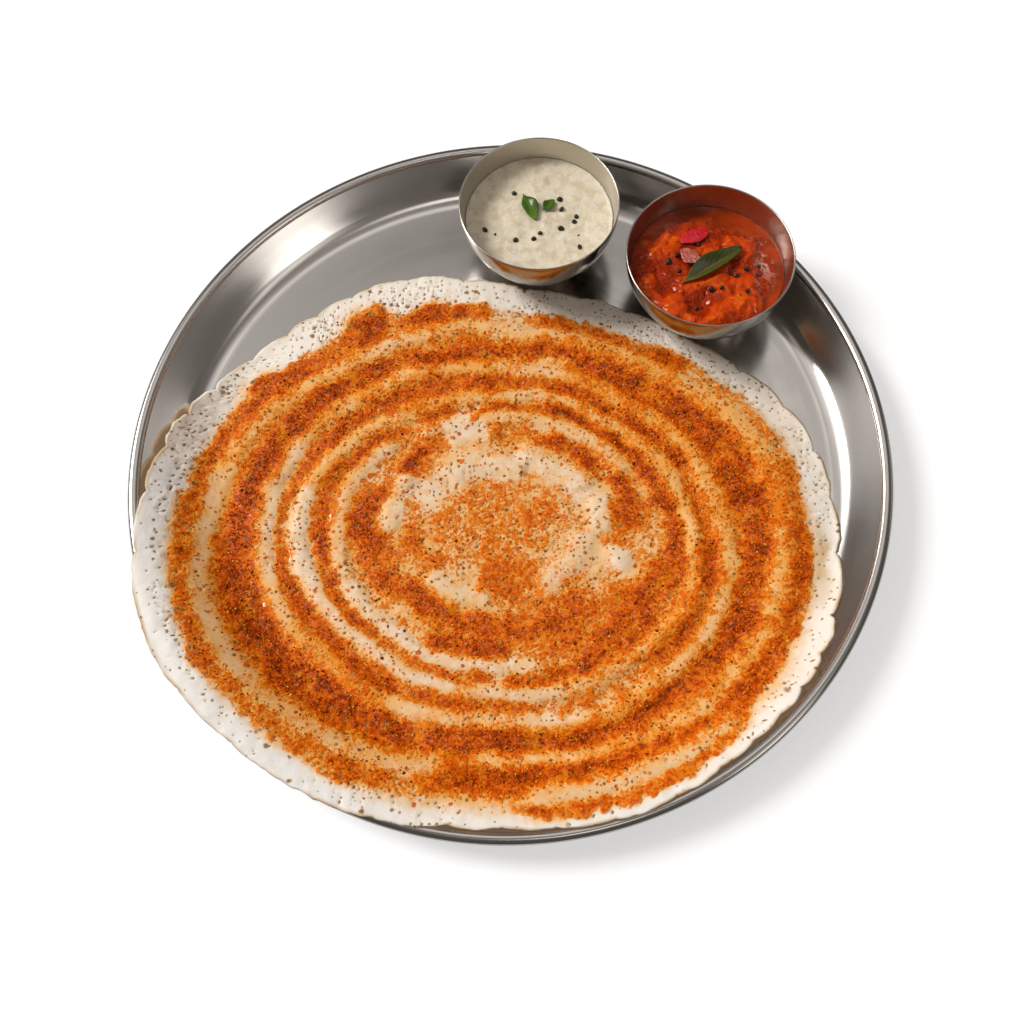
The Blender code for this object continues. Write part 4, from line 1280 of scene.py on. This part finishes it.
def leaf_material(name, dark, light, midrib, pale_end):
    """Fried leaf: dark blade, a reddish midrib, faint veins, one paler tip, and one side of the fold painted
    lighter as if lit.
    """
    material, place = new_material(name, Specular_IOR_Level=0.25)
    across, along = painted(material, "across"), painted(material, "along")
    speckle, patches, height = effect(fine_grain, place, size=0.0006)
    away = abs(across)
    veins = maths("COSINE", (along - away * 0.5) * (9.0 * math.pi))
    tone = mixed(rise(along, *pale_end) * 0.85, dark, light)
    tone = mixed(rise(veins, 0.75, 1.0) * 0.35, tone, light)
    tone = mixed(patches * 0.35, tone, shade(dark, 0.6))
    # Painted light: the side across below zero is mixed lighter, as a lit side of the fold.
    tone = mixed(rise(across, 0.1, -0.1, 0.0, 0.18), tone, light)
    rib = rise(away, 0.04, 0.12, 0.7, 0.0) * rise(abs(along), 0.25, 0.6, 1.0, 0.2)
    return join(material, Base_Color=mixed(rib, tone, midrib), Roughness=rise(speckle, 0.0, 1.0, 0.12, 0.24),
                Normal=bumped(height, 0.07 * MM))


class DOSA_OT_make_leaves(bpy.types.Operator):
    """Lay the three curry leaves on the chutneys"""
    bl_idname = "podi_dosa.make_leaves"
    bl_label = "Make Leaves"

    def execute(self, context):
        settings = context.scene.podi_dosa.garnish
        fried = leaf_material("fried curry leaf", settings.leaf, settings.leaf_light, settings.midrib,
                              (-0.35, -0.95))
        fresh = leaf_material("fresh curry leaf", settings.fresh, settings.fresh_light, settings.fresh_light,
                              (-0.3, 0.9))
        for name, node, leaf, fold, curl, material in (
                ("large_leaf", "curry_leaf_large", LARGE_LEAF, 0.36, 0.3 * MM, fried),
                ("left_leaf", "curry_leaf_left", LEFT_LEAF, 0.20, 0.2 * MM, fresh),
                ("right_leaf", "curry_leaf_right", RIGHT_LEAF, 0.20, 0.2 * MM, fresh)):
            points, faces, fields = leaf_mesh(leaf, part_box(node)[0].z, fold, curl)
            new_piece(name, points, faces, material, fields, (node,))
        return {"FINISHED"}


def rounded_block(middle, size, turn, bend, power, seed):
    """Closed rounded slice: rings along its length whose girth is an arch of the given power, with
    soft dents and ends that bend up. Middle, size and turn are its place."""
    rows, around = 17, 24
    along = np.linspace(-1.0, 1.0, rows + 2)[1:-1, None]
    ring = np.arange(around)[None] * math.tau / around
    girth = (1.0 - np.abs(along) ** power) ** 0.6
    girth = girth * (1.0 + 0.22 * waves(2.5 * along + seed, 1.5 * np.cos(ring), 1.0, seed))
    x, y = laid(middle, turn, 0.5 * size[0] * along + 0.0 * ring, 0.5 * size[1] * girth * np.cos(ring))
    z = middle[2] + 0.5 * size[2] * girth * np.sin(ring) + bend * along ** 2
    ends = [(*laid(middle, turn, side * 0.5 * size[0], 0.0), middle[2] + bend) for side in (-1.0, 1.0)]
    return closed_rows(np.stack([x, y, z], axis=-1), *ends)


def soft_material(name, base, streak):
    """Cooked vegetable: glossy, with streaks along it and softer patches."""
    material, place = new_material(name, Specular_IOR_Level=0.35, Subsurface_Weight=0.3,
                                   Subsurface_Scale=1.0, Subsurface_Radius=(0.0015, 0.0005, 0.0004))
    speckle, patches, height = effect(fine_grain, place, size=0.0009)
    web = abs(noise(place, 0.0022) - 0.5)
    tone = mixed(rise(web, 0.0, 0.06, 0.55, 0.0), base, streak)
    tone = mixed(patches * 0.4, tone, shade(base, 0.6))
    return join(material, Base_Color=tone, Roughness=rise(speckle, 0.0, 1.0, 0.06, 0.16),
                Normal=bumped(height - rise(web, 0.0, 0.08), 0.12 * MM))


class DOSA_OT_make_soft_pieces(bpy.types.Operator):
    """Lay the piece of onion and the strip of tomato skin on the tomato chutney"""
    bl_idname = "podi_dosa.make_soft_pieces"
    bl_label = "Make Soft Pieces"

    def execute(self, context):
        settings = context.scene.podi_dosa.garnish
        for name, node, size, turn, bend, power, material, slot in (
                ("onion_bit", "onion_piece", (10.5, 8.0, 1.1), -42.0, 0.2, 1.4,
                 soft_material("cooked onion", settings.onion, (0.85, 0.50, 0.45)), "onion"),
                ("tomato_bit", "tomato_piece", (15.0, 7.0, 1.0), 20.0, -0.2, 2.2,
                 soft_material("tomato skin", settings.skin, (0.66, 0.05, 0.04)), "tomato_skin")):
            low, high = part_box(node)
            points, faces = rounded_block((low + high) / 2.0, [side * MM for side in size],
                                          math.radians(turn), bend * MM, power, 7)
            new_piece(name, points, faces, material, replaces=(node,))
        return {"FINISHED"}


def seed_shape(size):
    """A slightly flattened ball of rings, seven high and twelve round."""
    tilt = np.linspace(0.0, math.pi, 9)[1:-1, None]
    ring = np.arange(12)[None] * math.tau / 12
    rows = np.stack([np.sin(tilt) * np.cos(ring), np.sin(tilt) * np.sin(ring),
                     SEED_FLATNESS * np.cos(tilt) + 0.0 * ring], axis=-1)
    top = 0.5 * SEED_FLATNESS * size
    points, (quads, fans) = closed_rows(0.5 * size * rows, (0.0, 0.0, top), (0.0, 0.0, -top))
    return points, np.concatenate([quads[:, [0, 1, 2]], quads[:, [0, 2, 3]], fans])


def seed_material(settings):
    """Popped mustard seed: near black, glossy, with a dull pitted skin in patches."""
    material, place = new_material("mustard seed", Specular_IOR_Level=0.3)
    speckle, patches, height = effect(fine_grain, place, size=0.0005)
    tone = mixed(patches * 0.6, settings.seed, (0.045, 0.022, 0.014))
    return join(material, Base_Color=tone, Roughness=rise(speckle, 0.0, 1.0, 0.22, 0.42),
                Normal=bumped(height, 0.1 * MM))


class DOSA_OT_make_seeds(bpy.types.Operator):
    """Drop the mustard seeds into both chutneys"""
    bl_idname = "podi_dosa.make_seeds"
    bl_label = "Make Seeds"

    def execute(self, context):
        whole = context.scene.podi_dosa
        shape, faces = seed_shape(whole.garnish.seed_size)
        material = seed_material(whole.garnish)
        random = np.random.default_rng(9)
        for chutney, seeds in (("coconut", COCONUT_SEEDS), ("tomato", TOMATO_SEEDS)):
            at, radius, fill, relief = filling(whole, chutney)
            x, y = seeds[:, 0] * MM - at[0], seeds[:, 1] * MM - at[1]
            height = BOWL_BOTTOM + brim(radius, fill)[2] + relief(x, y)
            scale = seeds[:, 2][:, None, None] * (0.82 + 0.36 * random.random((len(seeds), 1, 3)))
            varied = np.einsum("nij,nkj->nki", random_turns(random, len(seeds)), shape[None] * scale)
            points, joined = copied(varied, faces, np.stack([x + at[0], y + at[1], height], axis=1))
            new_piece(chutney + "_seeds", points, joined, material)
        return {"FINISHED"}


# ---------------------------------------------------------------- studio

def from_sky(azimuth, elevation):
    """Unit direction, azimuth in degrees from +Y towards +X."""
    round_it, up = math.radians(azimuth), math.radians(elevation)
    return (math.sin(round_it) * math.cos(up), math.cos(round_it) * math.cos(up), math.sin(up))


def make_world(settings):
    """The pale room, by height, and the soft lights added to it, by direction."""
    world = bpy.data.worlds.new("Soft studio")
    world.use_nodes = True
    tree = world.node_tree
    direction = output(tree, "ShaderNodeTexCoord", "Generated")
    upward = output(tree, "ShaderNodeSeparateXYZ", "Z", {0: direction})
    room = mixed(rise(upward, 0.85, 0.98), shade(settings.room, 0.8), shade(settings.room, 1.2))
    total = mixed(rise(upward, -0.1, 0.2), settings.room, room)
    for source, azimuth, elevation, core, edge, strength in LIGHTS:
        towards = vector("DOT_PRODUCT", direction, from_sky(azimuth, elevation), "Value")
        glow = rise(towards, math.cos(math.radians(edge)), math.cos(math.radians(core)), 0.0, strength)
        total = vector("ADD", total, vector("SCALE", getattr(settings, source), glow))
    tree.links.new(total.socket, tree.nodes["Background"].inputs["Color"])
    bpy.context.scene.world = world


class DOSA_OT_set_studio(bpy.types.Operator):
    """Set the pale floor, the soft light and the camera"""
    bl_idname = "podi_dosa.set_studio"
    bl_label = "Set Studio"

    def execute(self, context):
        settings = context.scene.podi_dosa.studio
        mesh = bpy.data.meshes.new("floor")
        corners = [(FLOOR_SIDE * x, FLOOR_SIDE * y, 0.0) for x, y in ((-1, -1), (1, -1), (1, 1), (-1, 1))]
        mesh.from_pydata(corners, [], [(0, 1, 2, 3)])
        material, place = new_material("pale floor", Roughness=0.8, Emission_Strength=0.86)
        tone = mixed(noise(place, 0.2, 3.0), settings.floor, shade(settings.floor, 0.985))
        mesh.materials.append(join(material, Base_Color=tone, Emission_Color=tone))
        floor = bpy.data.objects.new("floor", mesh)
        context.scene.collection.objects.link(floor)
        make_world(settings)
        lens = bpy.data.cameras.new("camera")
        lens.sensor_width = 36.0
        lens.lens = CAMERA_LENS
        lens.clip_start = 0.01
        camera = bpy.data.objects.new("camera", lens)
        view = Matrix((CAMERA_RIGHT, CAMERA_UP, CAMERA_BACK)).transposed().to_4x4()
        view.translation = CAMERA_PLACE
        camera.matrix_world = view
        context.scene.collection.objects.link(camera)
        context.scene.camera = camera
        context.scene.view_settings.view_transform = "Standard"
        return {"FINISHED"}


class DOSA_PT_panel(bpy.types.Panel):
    """Lists the pieces of the meal and their sizes and colours"""
    bl_idname = "DOSA_PT_panel"
    bl_label = "Podi Dosa"
    bl_space_type = "VIEW_3D"
    bl_region_type = "UI"
    bl_category = "Dosa"

    def draw(self, context):
        whole = context.scene.podi_dosa
        for operator, group in STEPS:
            box = self.layout.box()
            box.operator(operator.bl_idname)
            settings = getattr(whole, group)
            for key in settings.bl_rna.properties.keys():
                if key not in ("rna_type", "name"):
                    box.prop(settings, key)


STEPS = (
    (DOSA_OT_make_plate, "steel"), (DOSA_OT_make_bowls, "steel"), (DOSA_OT_make_dosa, "dosa"),
    (DOSA_OT_scatter_podi, "podi"), (DOSA_OT_make_coconut_chutney, "chutney"),
    (DOSA_OT_make_tomato_chutney, "chutney"), (DOSA_OT_make_leaves, "garnish"),
    (DOSA_OT_make_soft_pieces, "garnish"), (DOSA_OT_make_seeds, "garnish"),
    (DOSA_OT_set_studio, "studio"),
)
CLASSES = (SteelSettings, DosaSettings, PodiSettings, ChutneySettings, GarnishSettings,
           StudioSettings, DosaScene, *(operator for operator, _ in STEPS), DOSA_PT_panel)


def register():
    for part in CLASSES:
        bpy.utils.register_class(part)
    bpy.types.Scene.podi_dosa = PointerProperty(type=DosaScene)


def unregister():
    del bpy.types.Scene.podi_dosa
    for part in reversed(CLASSES):
        bpy.utils.unregister_class(part)


def main():
    """Registers the add-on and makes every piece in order."""
    register()
    for operator, _ in STEPS:
        getattr(bpy.ops.podi_dosa, operator.bl_idname.split(".")[1])()


if __name__ == "__main__":
    main()
